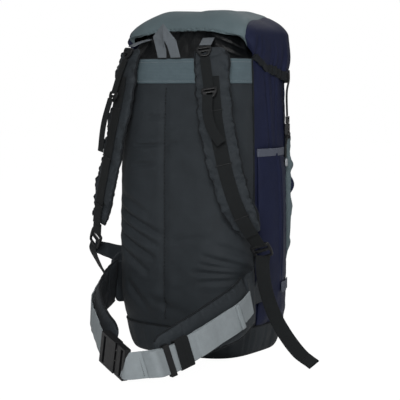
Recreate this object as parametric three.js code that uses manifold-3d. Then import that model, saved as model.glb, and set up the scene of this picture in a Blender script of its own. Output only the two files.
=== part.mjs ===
// A top-loading hiking backpack standing on its base, hip belt buckled, all sizes in millimetres.
// Frame: origin at the middle of the flat base, +Z up, the harness side faces -Y.
// Names are the wearer's: the wearer's left is at +X, the wearer's right at -X.
import * as THREE from 'three';
import { mergeVertices } from 'three/addons/utils/BufferGeometryUtils.js';
import Module from 'manifold-3d';

const wasm = await Module();
wasm.setup();

// ---- driving sizes -----------------------------------------------------------------------
const bagWidth = 300;
const bagDepth = 270;
const bagTop = 602;               // where the main panels end and the storm collar starts
const collarTop = 640;
const lidTop = 705;
const lidWidth = bagWidth + 8;
const lidDepth = bagDepth - 46;
const lidCentreY = 30;
const lidBackRim = 646;           // height of the lid's lower edge at the back
const lidFrontRim = 548;          // and at the front
const baseRise = 60;              // height of the moulded base
const seamAngle = 73;             // back panel meets side panel, degrees round from the spine
const frontAngle = 125;           // side panel meets front panel
const bandTop = 601;
const bandHeight = 49;
const beltWebbing = 50;           // width of the hip belt's webbing
const strapWebbing = 28;          // width of the harness webbing
const liftWebbing = 20;           // width of the load lifters and lid straps
const shoulderWidth = 68;
const shoulderThick = 14;
const wingHeight = 100;
const wingThick = 13;
const sidePocketTop = 420;
const frontPocketTop = 448;
const frontPocketBulge = 30;
const sidePocketBulge = 15;

// ---- walls and clearances ----------------------------------------------------------------
const cloth = 2.5;
const webbing = 1.8;
const beltThick = 2.2;
const gap = 0.6;                  // between layers that lie on each other
const seam = 0.4;                 // between pieces that meet edge to edge
const foamThick = 10;
const sheetThick = 2;
const stayThick = 4;
const stayWidth = 25;
const pin = 0.5;                  // running clearance in hardware
const seamHalf = 0.15;            // half a seam between panels, in degrees round the bag

const rad = THREE.MathUtils.degToRad;
const lerp = THREE.MathUtils.lerp;
const V = (x, y, z) => new THREE.Vector3(x, y, z);

// ---- geometry helpers --------------------------------------------------------------------

// Reads a value from a short list of [position, value] pairs, straight between them.
function table(pairs, at) {
  if (at <= pairs[0][0]) return pairs[0][1];
  for (let i = 1; i < pairs.length; i++) {
    const [x0, y0] = pairs[i - 1];
    const [x1, y1] = pairs[i];
    if (at <= x1) return lerp(y0, y1, (at - x0) / (x1 - x0));
  }
  return pairs[pairs.length - 1][1];
}

// Keeps only position, joins shared vertices and drops triangles that have no area.
function bare(geometry) {
  const source = geometry.clone();
  source.deleteAttribute('normal');
  source.deleteAttribute('uv');
  const merged = mergeVertices(source, 1e-4);
  const old = merged.index.array;
  const kept = [];
  for (let i = 0; i < old.length; i += 3) {
    const [a, b, c] = [old[i], old[i + 1], old[i + 2]];
    if (a !== b && b !== c && c !== a) kept.push(a, b, c);
  }
  merged.setIndex(kept);
  return merged;
}

// The harness and the belt are laid out for a bag of this size. In a bag of another size their points
// move out with its sides and back: fully when outside them, in proportion when nearer the middle.
const laidOutFor = { width: 300, depth: 270, lidWidth: 308, lidDepth: 224 };

function tied([x, y, z]) {
  const wider = (bagWidth - laidOutFor.width) / 2;
  const deeper = (bagDepth - laidOutFor.depth) / 2;
  const outX = THREE.MathUtils.clamp(x / 150, -1, 1);
  const outY = THREE.MathUtils.clamp(y / 150, -1, 1);
  return V(x + wider * outX, y + deeper * outY, z);
}

// Six times the signed volume: below zero when the faces point inwards.
function volume6(geometry) {
  const p = geometry.attributes.position;
  const index = geometry.index.array;
  const [a, b, c] = [V(), V(), V()];
  let sum = 0;
  for (let i = 0; i < index.length; i += 3) {
    a.fromBufferAttribute(p, index[i]);
    b.fromBufferAttribute(p, index[i + 1]);
    c.fromBufferAttribute(p, index[i + 2]);
    sum += a.dot(b.cross(c));
  }
  return sum;
}

// Moves every vertex of a closed geometry to place(x, y, z) and turns its faces outwards.
function warp(geometry, place) {
  const shape = bare(geometry);
  const p = shape.attributes.position;
  for (let i = 0; i < p.count; i++) {
    const moved = place(p.getX(i), p.getY(i), p.getZ(i));
    p.setXYZ(i, moved.x, moved.y, moved.z);
  }
  if (volume6(shape) < 0) shape.index.array.reverse();
  return shape;
}

// A curved slab: place(u, v, w) takes u across, v along and w through it, each from 0 to 1.
function slab(across, along, place) {
  const block = new THREE.BoxGeometry(1, 1, 1, across, along, 1);
  return warp(block, (x, y, z) => place(x + 0.5, y + 0.5, z + 0.5));
}

function solid(geometry) {
  const shape = bare(geometry);
  return new wasm.Manifold(new wasm.Mesh({
    numProp: 3,
    vertProperties: new Float32Array(shape.attributes.position.array),
    triVerts: new Uint32Array(shape.index.array),
  }));
}

function geometryOf(manifold) {
  const mesh = manifold.getMesh();
  const shape = new THREE.BufferGeometry();
  shape.setAttribute('position', new THREE.BufferAttribute(new Float32Array(mesh.vertProperties), 3));
  shape.setIndex(Array.from(mesh.triVerts));
  return shape;
}

// A box given by its lowest and highest corner.
function block(low, high) {
  const size = V(...high).sub(V(...low));
  const box = new THREE.BoxGeometry(size.x, size.y, size.z);
  return box.translate(low[0] + size.x / 2, low[1] + size.y / 2, low[2] + size.z / 2);
}

// The first box with all the others cut out of it.
function carved(body, ...cuts) {
  const cutAll = cuts.reduce((left, cut) => left.subtract(solid(cut)), solid(body));
  return geometryOf(cutAll);
}

// Boxes joined into one solid.
function joined(first, ...others) {
  return geometryOf(others.reduce((sum, other) => sum.add(solid(other)), solid(first)));
}

// ---- scene -------------------------------------------------------------------------------

const finishes = {
  black: { color: 0x23272a, roughness: 0.7 },
  navy: { color: 0x1c2138, roughness: 0.6 },
  teal: { color: 0x5d6d72, roughness: 0.7 },
  grey: { color: 0x7e8689, roughness: 0.8 },
  plastic: { color: 0x15171a, roughness: 0.35 },
  foam: { color: 0x4a4d50, roughness: 0.9 },
  sheet: { color: 0xc9ccca, roughness: 0.5 },
  alloy: { color: 0xb6b9bc, roughness: 0.3, metalness: 1 },
};

const pack = new THREE.Group();

function add(name, finish, geometry, group = pack) {
  const mesh = new THREE.Mesh(geometry, new THREE.MeshStandardMaterial(finishes[finish]));
  mesh.name = name;
  group.add(mesh);
  return mesh;
}

// ---- the bag's own surface ---------------------------------------------------------------

const planPower = 3.4;
const girthOf = [[0, 0.8], [baseRise, 1], [110, 1.015], [220, 1.02], [330, 1.01], [450, 1],
  [560, 0.985], [bagTop, 0.965]];
const girth = (z) => table(girthOf, z);

// Radius of a superellipse at an angle round from -Y towards +X.
function planRadius(angle, halfWidth, halfDepth, power) {
  const x = Math.abs(Math.sin(angle) / halfWidth) ** power;
  const y = Math.abs(Math.cos(angle) / halfDepth) ** power;
  return (x + y) ** (-1 / power);
}

// Outward direction of the superellipse at a point on it.
function planNormal(x, y, halfWidth, halfDepth, power) {
  const nx = Math.sign(x) * Math.abs(x / halfWidth) ** (power - 1) / halfWidth;
  const ny = Math.sign(y) * Math.abs(y / halfDepth) ** (power - 1) / halfDepth;
  return V(nx, ny, 0).normalize();
}

// A point at a height on the bag, `proud` outside the surface, at degrees round from the spine.
function onBag(degrees, z, proud) {
  const angle = rad(degrees);
  const [a, b] = [bagWidth / 2, bagDepth / 2];
  const r = planRadius(angle, a, b, planPower);
  const [x, y] = [r * Math.sin(angle), -r * Math.cos(angle)];
  const out = planNormal(x, y, a, b, planPower).multiplyScalar(proud);
  return V(x * girth(z) + out.x, y * girth(z) + out.y, z);
}

// A panel of the bag between two angles and two heights; from and to are its depths.
function panel(angles, heights, depths, step = 6, rows = 7) {
  const across = Math.max(1, Math.round(Math.abs(angles[1] - angles[0]) / step));
  return slab(across, rows, (u, v, w) => {
    const depth = lerp(depths[0], depths[1], w);
    return onBag(lerp(angles[0], angles[1], u), lerp(heights[0], heights[1], v), depth);
  });
}

// ---- main bag ----------------------------------------------------------------------------

function buildBag() {
  const walls = [baseRise + seam, bagTop];
  const edge = seamAngle - seamHalf;
  add('back_panel', 'black', panel([-edge, edge], walls, [0, -cloth]));
  const sides = [seamAngle + seamHalf, frontAngle - seamHalf];
  const mirrored = [-sides[1], -sides[0]];
  const front = [frontAngle + seamHalf, 360 - frontAngle - seamHalf];
  add('side_panel_left', 'navy', panel(sides, walls, [0, -cloth]));
  add('side_panel_right', 'navy', panel(mirrored, walls, [0, -cloth]));
  add('front_panel', 'teal', panel(front, walls, [0, -cloth]));
  buildBase();
  buildCollar();
  const edgeOfBand = seamAngle - 7;
  add('yoke_band', 'grey', panel([-edgeOfBand, edgeOfBand], [bandTop - bandHeight, bandTop],
    [gap, gap + beltThick], 6, 2));
}

// The moulded base: a dish with a flat underside whose wall turns up to the panels.
function buildBase() {
  const flat = girthOf[0][1];
  const outer = [[0, 0], [0.4, 0], [flat, 0], [0.91, 12], [0.975, 34], [1, baseRise]];
  const thin = cloth / (bagDepth / 2);
  const inner = outer.map(([k, z]) => {
    const inset = z > 0 ? thin : thin / 2;
    return [Math.max(0, k - inset), z + (z < 30 ? cloth : 0)];
  });
  const profile = [...outer, ...inner.reverse().slice(0, -1), [0, cloth]];
  const dish = new THREE.LatheGeometry(profile.map(([k, z]) => new THREE.Vector2(k, z)), 48);
  add('base_panel', 'black', warp(dish, (x, z, y) => {
    const angle = Math.atan2(x, -y);
    const r = planRadius(angle, bagWidth / 2, bagDepth / 2, planPower) * Math.hypot(x, y);
    return V(r * Math.sin(angle), -r * Math.cos(angle), z);
  }));
}

// The collar's upper edge.
const mouth = { halfWidth: bagWidth / 2 - 24, halfDepth: bagDepth / 2 - 39, centreY: 17 };

// A point on the storm collar, rise 0 at the panels' top edge and 1 at its mouth.
function onCollar(degrees, rise, proud) {
  const low = onBag(degrees, bagTop, proud);
  const angle = rad(degrees);
  const r = planRadius(angle, mouth.halfWidth, mouth.halfDepth, planPower) + proud;
  const high = V(r * Math.sin(angle), mouth.centreY - r * Math.cos(angle), 0);
  return V(lerp(low.x, high.x, rise), lerp(low.y, high.y, rise), lerp(bagTop + seam, collarTop, rise));
}

function buildCollar() {
  const ring = [[2, 0], [2, 1], [1, 1], [1, 0], [2, 0]];
  const tube = new THREE.LatheGeometry(ring.map(([r, z]) => new THREE.Vector2(r, z)), 48);
  add('storm_collar', 'black', warp(tube, (x, rise, y) => {
    const degrees = THREE.MathUtils.radToDeg(Math.atan2(x, -y));
    return onCollar(degrees, rise, -cloth * (2 - Math.hypot(x, y)));
  }));
}

// ---- frame: foam, plastic sheet and two alloy stays inside the back panel ------------------

function buildFrame() {
  const foam = [-(cloth + gap), -(cloth + gap + foamThick)];
  const sheet = [foam[1] - gap, foam[1] - gap - sheetThick];
  add('back_foam', 'foam', panel([-48, 48], [80, 590], foam, 6, 7));
  add('frame_sheet', 'sheet', panel([-42, 42], [85, 585], sheet, 6, 7));
  const stayY = sheet[1] - gap;
  for (const [name, side] of [['left', 1], ['right', -1]]) {
    add(`frame_stay_${name}`, 'alloy', slab(1, 10, (u, v, w) => {
      const z = lerp(95, 575, v);
      const x = side * 38 + (u - 0.5) * stayWidth;
      return V(x, onBag(side * 16, z, 0).y - stayY + 1 + w * stayThick, z);
    }));
  }
}

// ---- pockets -----------------------------------------------------------------------------

// A pouch on the bag: its wall stands off by `bulge` in the middle and at the top edge.
function pouch(angles, heights, bulge, from, to) {
  const across = Math.round((angles[1] - angles[0]) / 5);
  const stand = (u, v) => {
    const rise = Math.sin(Math.PI / 2 * Math.min(1, v * 2.2)) ** 0.7;
    return bulge * Math.sin(Math.PI * u) ** 0.5 * rise;
  };
  return (low, high, depthIn, depthOut, rows) => slab(across, rows, (u, v, w) => {
    const along = lerp(low, high, v);
    const depth = gap + stand(u, along) + lerp(depthIn, depthOut, w);
    return onBag(lerp(angles[0], angles[1], u), lerp(heights[0], heights[1], along), depth);
  });
}

function buildPockets() {
  for (const [name, side] of [['left', 1], ['right', -1]]) {
    const angles = [seamAngle + 4, frontAngle - 9].map((a) => a * side).sort((a, b) => a - b);
    const wall = pouch(angles, [75, sidePocketTop], sidePocketBulge);
    add(`side_pocket_${name}`, 'navy', wall(0, 1, 0, cloth, 9));
  }
  const wall = pouch([frontAngle + 3, 360 - frontAngle - 3], [170, frontPocketTop], frontPocketBulge);
  add('front_pocket', 'teal', wall(0, 1, 0, cloth, 9));
}

// ---- lid ---------------------------------------------------------------------------------

const lidRimOf = [[0, lidBackRim], [50, lidBackRim], [63, 606], [78, 578], [110, 558], [180, lidFrontRim]];
const lidShoulder = 650;          // where the dome turns into the side wall
const lidStep = 7.5;              // degrees between the lid's columns

// The rim's height is read at the angle this place has on a lid of the laid-out size.
function lidRim(degrees) {
  const x = Math.sin(rad(degrees)) * laidOutFor.lidWidth / lidWidth;
  const y = Math.cos(rad(degrees)) * laidOutFor.lidDepth / lidDepth;
  const folded = Math.abs(THREE.MathUtils.radToDeg(Math.atan2(x, y)));
  return table(lidRimOf, folded);
}

// A point on the lid: k scales its plan, level is the height before the rim is shaped.
function onLid(degrees, k, level, proud = 0) {
  const angle = rad(degrees);
  const [a, b] = [lidWidth / 2, lidDepth / 2];
  const power = Math.cos(angle) > 0 ? 6 : 3.2;
  const r = planRadius(angle, a, b, power);
  const [x, y] = [r * Math.sin(angle), -r * Math.cos(angle)];
  const out = planNormal(x, y, a, b, power).multiplyScalar(proud);
  const fall = (lidShoulder - level) / 100;
  const z = level > lidShoulder ? level : lerp(lidShoulder, lidRim(degrees), fall);
  return V(x * k + out.x, y * k + out.y + lidCentreY, z);
}

function lidShell() {
  const s = lidShoulder;
  const rise = (lidTop - s) / 55;
  const outer = [[0, 55], [0.3, 53], [0.55, 47.5], [0.74, 39], [0.87, 26], [0.95, 13]];
  const wall = [[1, s], [1, s - 50], [0.985, s - 100], [0.962, s - 100], [0.975, s - 50], [0.975, s - 2]];
  const dome = outer.map(([k, h]) => [k, s + h * rise]);
  const inner = outer.map(([k, h]) => [k * 0.975, s + h * rise - 3.2 + (k > 0.9 ? 1 : 0)]).reverse();
  const profile = [...dome, ...wall, ...inner];
  const lathe = new THREE.LatheGeometry(profile.map(([k, z]) => new THREE.Vector2(k, z)), 360 / lidStep);
  return warp(lathe, (x, level, y) => {
    const degrees = THREE.MathUtils.radToDeg(Math.atan2(x, -y));
    return onLid(degrees, Math.hypot(x, y), level);
  });
}

const capX = lidWidth / 2 - 28;   // the seam between the lid's crown and its end caps
const lidStrapAngle = 121;
const lidBuckleZ = 470;
const hemAngles = [67.5, 292.5];  // the elastic hem runs round the front from cap to cap
const hemRise = [2, 15];          // above the lid's lower edge
const zipAngles = [142.5, 217.5];
const zipTapeHalf = 8;

function buildLid() {
  const shell = solid(lidShell());
  const crown = shell.intersect(solid(block([-capX, -200, 400], [capX, 300, 800])));
  const capLeft = shell.intersect(solid(block([capX + seam, -200, 400], [400, 300, 800])));
  const capRight = shell.intersect(solid(block([-400, -200, 400], [-capX - seam, 300, 800])));
  add('lid_crown', 'teal', geometryOf(crown));
  add('lid_cap_left', 'navy', geometryOf(capLeft));
  add('lid_cap_right', 'navy', geometryOf(capRight));
  add('lid_hem', 'black', slab(30, 1, (u, v, w) => {
    const degrees = lerp(hemAngles[0], hemAngles[1], u);
    const point = onLid(degrees, 1, lidShoulder, lerp(gap, gap + beltThick, w));
    return V(point.x, point.y, lidRim(degrees) + lerp(hemRise[0], hemRise[1], v));
  }));
  add('lid_zip_tape', 'black', slab(10, 1, (u, v, w) => {
    const point = onLid(lerp(zipAngles[0], zipAngles[1], u), 1, lidShoulder, lerp(gap, gap + webbing, w));
    return V(point.x, point.y, zipZ + lerp(-zipTapeHalf, zipTapeHalf, v));
  }));
  buildZipSlider();
  for (const [name, side] of [['left', 1], ['right', -1]]) buildLidStrap(name, side);
}

const zipZ = 622;
const zipStart = 62;

// The zip's slider, with its pull hanging in front of it.
function buildZipSlider() {
  const face = lidCentreY + lidDepth / 2 + gap + webbing + pin;
  const body = block([-6, 0, -5], [6, 5, 5]);
  const pull = block([-3, 3, -26], [3, 5, -4]);
  add('lid_zip_slider', 'alloy', joined(body, pull).translate(zipStart, face, zipZ));
}

// ---- side-release buckles, built along x (strap direction), y outwards, z across -----------

// The half with the centre guide: a bar for the webbing, then a tongue that enters the other half.
function buckleGuide(w) {
  const bar = carved(block([-w * 0.55, -w * 0.1, -w / 2], [0, w * 0.1, w / 2]),
    block([-w * 0.42, -w, -w * 0.42], [-w * 0.3, w, w * 0.42]));
  return joined(bar, block([-1, -w * 0.06, -w * 0.12], [w * 0.42, w * 0.06, w * 0.12]));
}

// The receiving half: side walls, an end bar with a slot, and one face plate on the `plate` side.
function buckleHousing(w, plate) {
  const thick = w * 0.13;
  const mouth = pin + 0.3;
  const whole = block([mouth, -thick, -w / 2], [w * 0.95, thick, w / 2]);
  const face = plate > 0 ? [-2 * thick, thick * 0.7] : [-thick * 0.7, 2 * thick];
  const room = block([mouth - 1, face[0], -w * 0.42], [w * 0.52, face[1], w * 0.42]);
  const slot = block([w * 0.64, -2 * thick, -w * 0.42], [w * 0.76, 2 * thick, w * 0.42]);
  return carved(whole, room, slot);
}

// Puts a piece built along x into the frame given by its axes and its place.
function placed(geometry, along, out, across, at) {
  const frame = new THREE.Matrix4().makeBasis(along, out, across).setPosition(at);
  return geometry.clone().applyMatrix4(frame);
}

function buildLidStrap(name, side) {
  const angle = lidStrapAngle * side;
  const out = onBag(angle, 450, 1).sub(onBag(angle, 450, 0));
  const down = V(0, 0, -1);
  const across = down.clone().cross(out).normalize();
  const line = (z, proud) => onBag(angle, z, proud);
  const buckleW = liftWebbing + 6;
  const proud = 9;
  const bar = lidBuckleZ + buckleW * 0.55;
  const over = [line(584, 19.5), line(562, 19.5), line(540, 17), line(bar + 0.6, proud)];
  const upper = new THREE.CatmullRomCurve3(over);
  add(`lid_strap_${name}`, 'black', ribbon({ path: upper, up: () => across, width: liftWebbing,
    thick: webbing, steps: 8 }));
  const at = line(lidBuckleZ, proud);
  add(`lid_buckle_guide_${name}`, 'plastic', placed(buckleGuide(buckleW), down, out, across, at));
  add(`lid_buckle_housing_${name}`, 'plastic', placed(buckleHousing(buckleW, -1), down, out, across, at));
  const end = lidBuckleZ - buckleW * 0.95 - 0.6;
  const lower = new THREE.CatmullRomCurve3([line(end, proud), line(end - 20, 5), line(end - 45, 3)]);
  add(`lid_anchor_${name}`, 'black', ribbon({ path: lower, up: () => across, width: liftWebbing,
    thick: webbing, steps: 5 }));
}

// ---- ribbons: webbing and pads that follow a curve ------------------------------------------

// The curve's frame at t: place, along, across (as near to `up` as it can be) and out.
function frameAt(path, up, t, side = 1) {
  const along = path.getTangentAt(t).normalize();
  const across = up(t).clone();
  across.addScaledVector(along, -across.dot(along)).normalize();
  const out = along.clone().cross(across).multiplyScalar(side);
  return { at: path.getPointAt(t), along, across, out };
}

// width, shift (across) and lift (outwards) are numbers or functions of t along the curve.
function ribbon(spec) {
  const { path, up, width, thick, steps } = spec;
  const { lift = 0, shift = 0, side = 1, from = 0, to = 1, across = 1 } = spec;
  const value = (f, t) => (typeof f === 'function' ? f(t) : f);
  return slab(across, steps, (u, v, w) => {
    const t = lerp(from, to, v);
    const frame = frameAt(path, up, t, side);
    const sideways = (u - 0.5) * value(width, t) + value(shift, t);
    const outwards = (w - 0.5) * value(thick, t) + value(lift, t);
    return frame.at.addScaledVector(frame.across, sideways).addScaledVector(frame.out, outwards);
  });
}

// Turns a local frame's axes into a placement for hardware.
function fitted(geometry, frame, slide = 0, lift = 0, shift = 0) {
  const at = frame.at.clone().addScaledVector(frame.along, slide);
  at.addScaledVector(frame.out, lift).addScaledVector(frame.across, shift);
  const across = frame.along.clone().cross(frame.out);
  return placed(geometry, frame.along, frame.out, across, at);
}

// ---- grab handle -------------------------------------------------------------------------

const handleAxis = { y: -bagDepth / 2 - 6.5, z: bandTop + 5 };
const handleThick = 3;
const handleShift = 4;            // the loop's legs stand this far left of the spine

function buildHandle() {
  const [wide, rise] = [25, 58];
  const outline = new THREE.Shape();
  outline.moveTo(-24, 0);
  outline.lineTo(-36, 34);
  outline.quadraticCurveTo(-32, rise, -8, rise + 2);
  outline.quadraticCurveTo(20, rise, 26, 26);
  outline.lineTo(30, 0);
  outline.lineTo(9, 0);
  outline.quadraticCurveTo(6, 34, -9, 36);
  outline.quadraticCurveTo(-14, 34, -4, 0);
  outline.closePath();
  const sides = { depth: handleThick, bevelEnabled: false, curveSegments: 6 };
  const loop = new THREE.ExtrudeGeometry(outline, sides);
  loop.rotateX(Math.PI / 2).translate(0, handleThick / 2, 0);
  const stood = (x, y, z) => V(x + handleShift, handleAxis.y + y, handleAxis.z + z + 1);
  add('grab_handle', 'grey', warp(loop, stood));
}

// ---- shoulder harness --------------------------------------------------------------------

const harness = {
  left: {
    side: 1,
    pad: [[106, -130, 597], [121, -145, 540], [134, -149, 462], [156, -144, 365], [172, -130, 306],
      [186, -104, 258]],
    lock: [191, -76, 222],
    tab: [[187, -62, 196], [178, -57, 165], [166, -55, 120]],
    tail: [[190, -82, 197], [204, -84, 150], [232, -86, 90], [282, -88, 34], [318, -89, 14]],
    liftLock: [124, -164, 541],
    liftTail: [[129, -176, 530], [132, -180, 495], [142, -178, 462], [157, -170, 437]],
  },
  right: {
    side: -1,
    pad: [[-97, -130, 597], [-107, -145, 530], [-119, -155, 457], [-138, -156, 375], [-153, -152, 313],
      [-164, -146, 262]],
    lock: [-184, -138, 228],
    tab: [[-192, -126, 205], [-180, -98, 198], [-167, -56, 186]],
    tail: [[-196, -140, 204], [-207, -98, 165], [-206, -70, 128], [-210, -68, 85], [-232, -84, 55]],
    liftLock: [-110, -164, 533],
    liftTail: [[-113, -173, 522], [-120, -181, 484], [-127, -184, 448], [-133, -184, 414]],
  },
};

const curve = (points) => new THREE.CatmullRomCurve3(points.map(tied), false, 'centripetal');
const padYaw = 28;                // the shoulder pads' faces turn this much outwards

// A ladder lock along x: anchor bar at x = 0, a middle bar and a free lip.
function ladderLock(w) {
  const [length, thick, side] = [w * 1.05, 5, 5];
  const slot = length * 0.24;
  const half = w / 2 + 1;
  const body = block([-2.5, -thick / 2, -half - side], [length, thick / 2, half + side]);
  const slotA = block([2.5, -thick, -half], [2.5 + slot, thick, half]);
  const slotB = block([length - 3 - slot, -thick, -half], [length - 3, thick, half]);
  return carved(body, slotA, slotB);
}

function buildShoulder(name) {
  const spec = harness[name];
  const yaw = rad(padYaw) * spec.side;
  const up = () => V(Math.cos(yaw), Math.sin(yaw), 0);
  const path = curve(spec.pad);
  const width = (t) => shoulderWidth * table([[0, 0.95], [0.1, 1], [0.6, 1], [0.9, 0.9], [1, 0.6]], t);
  const thick = (t) => shoulderThick * table([[0, 0.6], [0.1, 1], [0.92, 1], [1, 0.6]], t);
  add(`shoulder_pad_${name}`, 'black', ribbon({ path, up, width, thick, steps: 16, across: 2 }));
  add(`shoulder_webbing_${name}`, 'black', ribbon({ path, up, width: strapWebbing, thick: webbing,
    lift: shoulderThick / 2 + gap + webbing / 2, from: 0.25, to: 1, steps: 12 }));
  buildStrapLock(name, spec, path, up);
  buildLifter(name, spec, up);
}

// The adjuster at the strap's lower end, its anchor tab and its free tail.
function buildStrapLock(name, spec, path, up) {
  const at = tied(spec.lock);
  const along = at.clone().sub(path.getPointAt(1)).normalize();
  const across = up().addScaledVector(along, -up().dot(along)).normalize();
  const out = along.clone().cross(across);
  const frame = { at, along, across, out };
  const set = -strapWebbing / 2;
  const lock = add(`strap_lock_${name}`, 'plastic', fitted(ladderLock(strapWebbing), frame, set));
  lock.userData.hinge = { axis: across.clone().negate(), point: at.clone().addScaledVector(along, set) };
  const tab = curve(spec.tab);
  const spread = (t) => lerp(strapWebbing, 46, t);
  add(`anchor_tab_${name}`, 'black', ribbon({ path: tab, up: tabUp(spec), width: spread,
    thick: cloth, steps: 6 }));
  const tail = curve(spec.tail);
  add(`strap_tail_${name}`, 'black', ribbon({ path: tail, up, width: strapWebbing,
    thick: webbing, steps: 14 }));
}

const tabUp = (spec) => () => V(spec.side * 0.25, 0.5, 0.8);

// The load lifter: anchor webbing from the collar, upper lock, webbing, lower lock and tail.
function buildLifter(name, spec, up) {
  const s = spec.side;
  const anchor = curve([[s * 76, -97, 637], [s * 84, -109, 630], [s * 91, -121, 622]]);
  const lean = () => V(Math.cos(rad(20)), Math.sin(rad(20)) * s, 0);
  add(`lifter_anchor_${name}`, 'grey', ribbon({ path: anchor, up: lean, width: liftWebbing + 4,
    thick: webbing, steps: 4 }));
  const lockAt = tied(spec.liftLock);
  const top = tied([s * 95, -139, 614]);
  const along = lockAt.clone().sub(top).normalize();
  const across = up().addScaledVector(along, -up().dot(along)).normalize();
  const frame = { at: top, along, across, out: along.clone().cross(across) };
  add(`lifter_ring_${name}`, 'plastic', fitted(ladderLock(liftWebbing), frame, -8));
  const start = top.clone().addScaledVector(along, 15.5);
  const stop = lockAt.clone().addScaledVector(along, -3.2);
  const web = new THREE.LineCurve3(start, stop);
  add(`lifter_webbing_${name}`, 'black', ribbon({ path: web, up, width: liftWebbing,
    thick: webbing, steps: 1 }));
  const low = { at: lockAt, along, across, out: frame.out };
  add(`lifter_lock_${name}`, 'plastic', fitted(ladderLock(liftWebbing), low, 0));
  add(`lifter_tail_${name}`, 'black', ribbon({ path: curve(spec.liftTail), up, width: liftWebbing,
    thick: webbing, steps: 8 }));
}

// ---- hip belt ----------------------------------------------------------------------------

const belt = {
  left: {
    side: -1,
    path: [[168, -90, 126], [178, -150, 108], [170, -215, 92], [153, -290, 72], [128, -346, 54],
      [95, -366, 41]],
    padEnd: 0.86,
  },
  right: {
    side: 1,
    path: [[-168, -90, 136], [-152, -150, 118], [-118, -212, 100], [-72, -262, 86], [-22, -302, 74],
      [30, -330, 62]],
    padEnd: 0.98,
  },
};

const wingUp = (spec) => (t) => V(spec.side * lerp(0.2, 0, t), lerp(0, 0.15, t), 1);
const beltStand = (t) => table([[0, gap], [0.3, gap], [0.5, 5.2]], t);   // webbing off the pad
const webLift = (t) => wingThick / 2 + beltStand(t) + beltThick / 2;

function buildWing(name) {
  const spec = belt[name];
  const path = curve(spec.path);
  const up = wingUp(spec);
  const end = spec.padEnd;
  const tapers = [[0, 1], [0.3 * end, 0.98], [0.75 * end, 0.78], [0.94 * end, 0.66], [end, 0.4]];
  const width = (t) => wingHeight * table(tapers, t);
  const common = { path, up, side: spec.side };
  add(`hip_wing_${name}`, 'black', ribbon({ ...common, width, thick: wingThick, to: end,
    steps: 18, across: 2 }));
  return common;
}

const buckleW = beltWebbing + 12;
const buckleFrom = tied([91, -380, 37]);    // the guide's bar
const buckleTo = tied([2, -341, 60]);       // the housing's bar
const prongAt = 0.27;                   // the prongs' height off the middle, as a share of the width
const prongHalf = [buckleW * 0.056, buckleW * 0.048];   // half of its thickness and height
const prongStart = 0.6;

function buildBelt() {
  const left = buildWing('left');
  const slope = (t) => table([[0, -2], [0.5, -8], [0.8, -16], [1, -6]], t);
  add('belt_webbing_left', 'grey', ribbon({ ...left, width: beltWebbing, thick: beltThick, lift: webLift,
    shift: slope, from: 0.04, to: 0.975, steps: 24 }));
  const layer = beltThick + gap;
  add('belt_tail_left', 'grey', ribbon({ ...left, width: beltWebbing, thick: beltThick,
    lift: (t) => webLift(t) + layer, shift: slope, from: 0.2, to: 0.89, steps: 16 }));
  buildSleeve('belt_keeper', 'black', left, slope, keeperT, keeperLength);
  buildSleeve('belt_triglide', 'plastic', left, slope, triglideT, triglideLength);

  const right = buildWing('right');
  const ends = [0.04, 0.11, 0.18, 0.25, 0.32, 0.39, 0.46, 0.53, 0.6, 0.7];
  const points = ends.map((t) => {
    const f = frameAt(right.path, right.up, t, right.side);
    return f.at.addScaledVector(f.out, webLift(t));
  });
  const along = buckleTo.clone().sub(buckleFrom).normalize();
  const end = tied([-4, -337, 60]).addScaledVector(along, 1.5 * (beltWebbing - 50));
  const web = new THREE.CatmullRomCurve3([...points, end], false, 'centripetal');
  add('belt_webbing_right', 'grey', ribbon({ path: web, up: right.up, side: right.side, width: beltWebbing,
    thick: beltThick, steps: 20 }));
  buildHipBuckle();
}

const keeperT = 0.715;
const keeperLength = 30;
const triglideT = 0.81;
const triglideLength = 12;

// A flat sleeve that slides along the belt's two layers of webbing.
function buildSleeve(name, finish, wing, slope, t, length) {
  const layers = 2 * beltThick + gap;
  const room = 1.6;
  const wall = 2.2;
  const f = frameAt(wing.path, wing.up, t, wing.side);
  const half = beltWebbing / 2 + room;
  const inside = [-layers / 2 - room, layers / 2 + room];
  const corner = [length / 2, inside[1] + wall, half + 4];
  const outside = block([-length / 2, inside[0] - wall, -half - 4], corner);
  const hole = block([-length, inside[0], -half], [length, inside[1], half]);
  const lift = wingThick / 2 + beltStand(t) + layers / 2;
  const mesh = add(name, finish, fitted(carved(outside, hole), f, 0, lift, slope(t)));
  mesh.userData.slide = { axis: f.along, point: f.at };
}

function buildHipBuckle() {
  const along = buckleTo.clone().sub(buckleFrom).normalize();
  const across = V(0, 0, 1).addScaledVector(along, -along.z).normalize();
  const out = across.clone().cross(along);
  const at = buckleFrom.clone().addScaledVector(along, buckleW * 0.55);
  const place = (shape) => placed(shape, along, out, along.clone().cross(out), at);
  add('hip_buckle_guide', 'plastic', place(buckleGuide(buckleW)));
  add('hip_buckle_housing', 'plastic', place(buckleHousing(buckleW, 1)));
  for (const [name, s] of [['upper', 1], ['lower', -1]]) {
    const middle = s * buckleW * prongAt;
    const [thick, high] = prongHalf;
    const arm = block([prongStart, -thick, middle - high], [buckleW * 0.46, thick, middle + high]);
    const prong = add(`hip_prong_${name}`, 'plastic', place(arm));
    const root = at.clone().addScaledVector(along.clone().cross(out), middle);
    prong.userData.hinge = { axis: out, point: root.addScaledVector(along, prongStart) };
  }
}

buildBag();
buildFrame();
buildPockets();
buildLid();
buildHandle();
buildShoulder('left');
buildShoulder('right');
buildBelt();

export default pack;
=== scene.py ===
from contextlib import contextmanager
from functools import partial

import bmesh
import bpy
import numpy as np
from mathutils import Matrix, Vector


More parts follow.
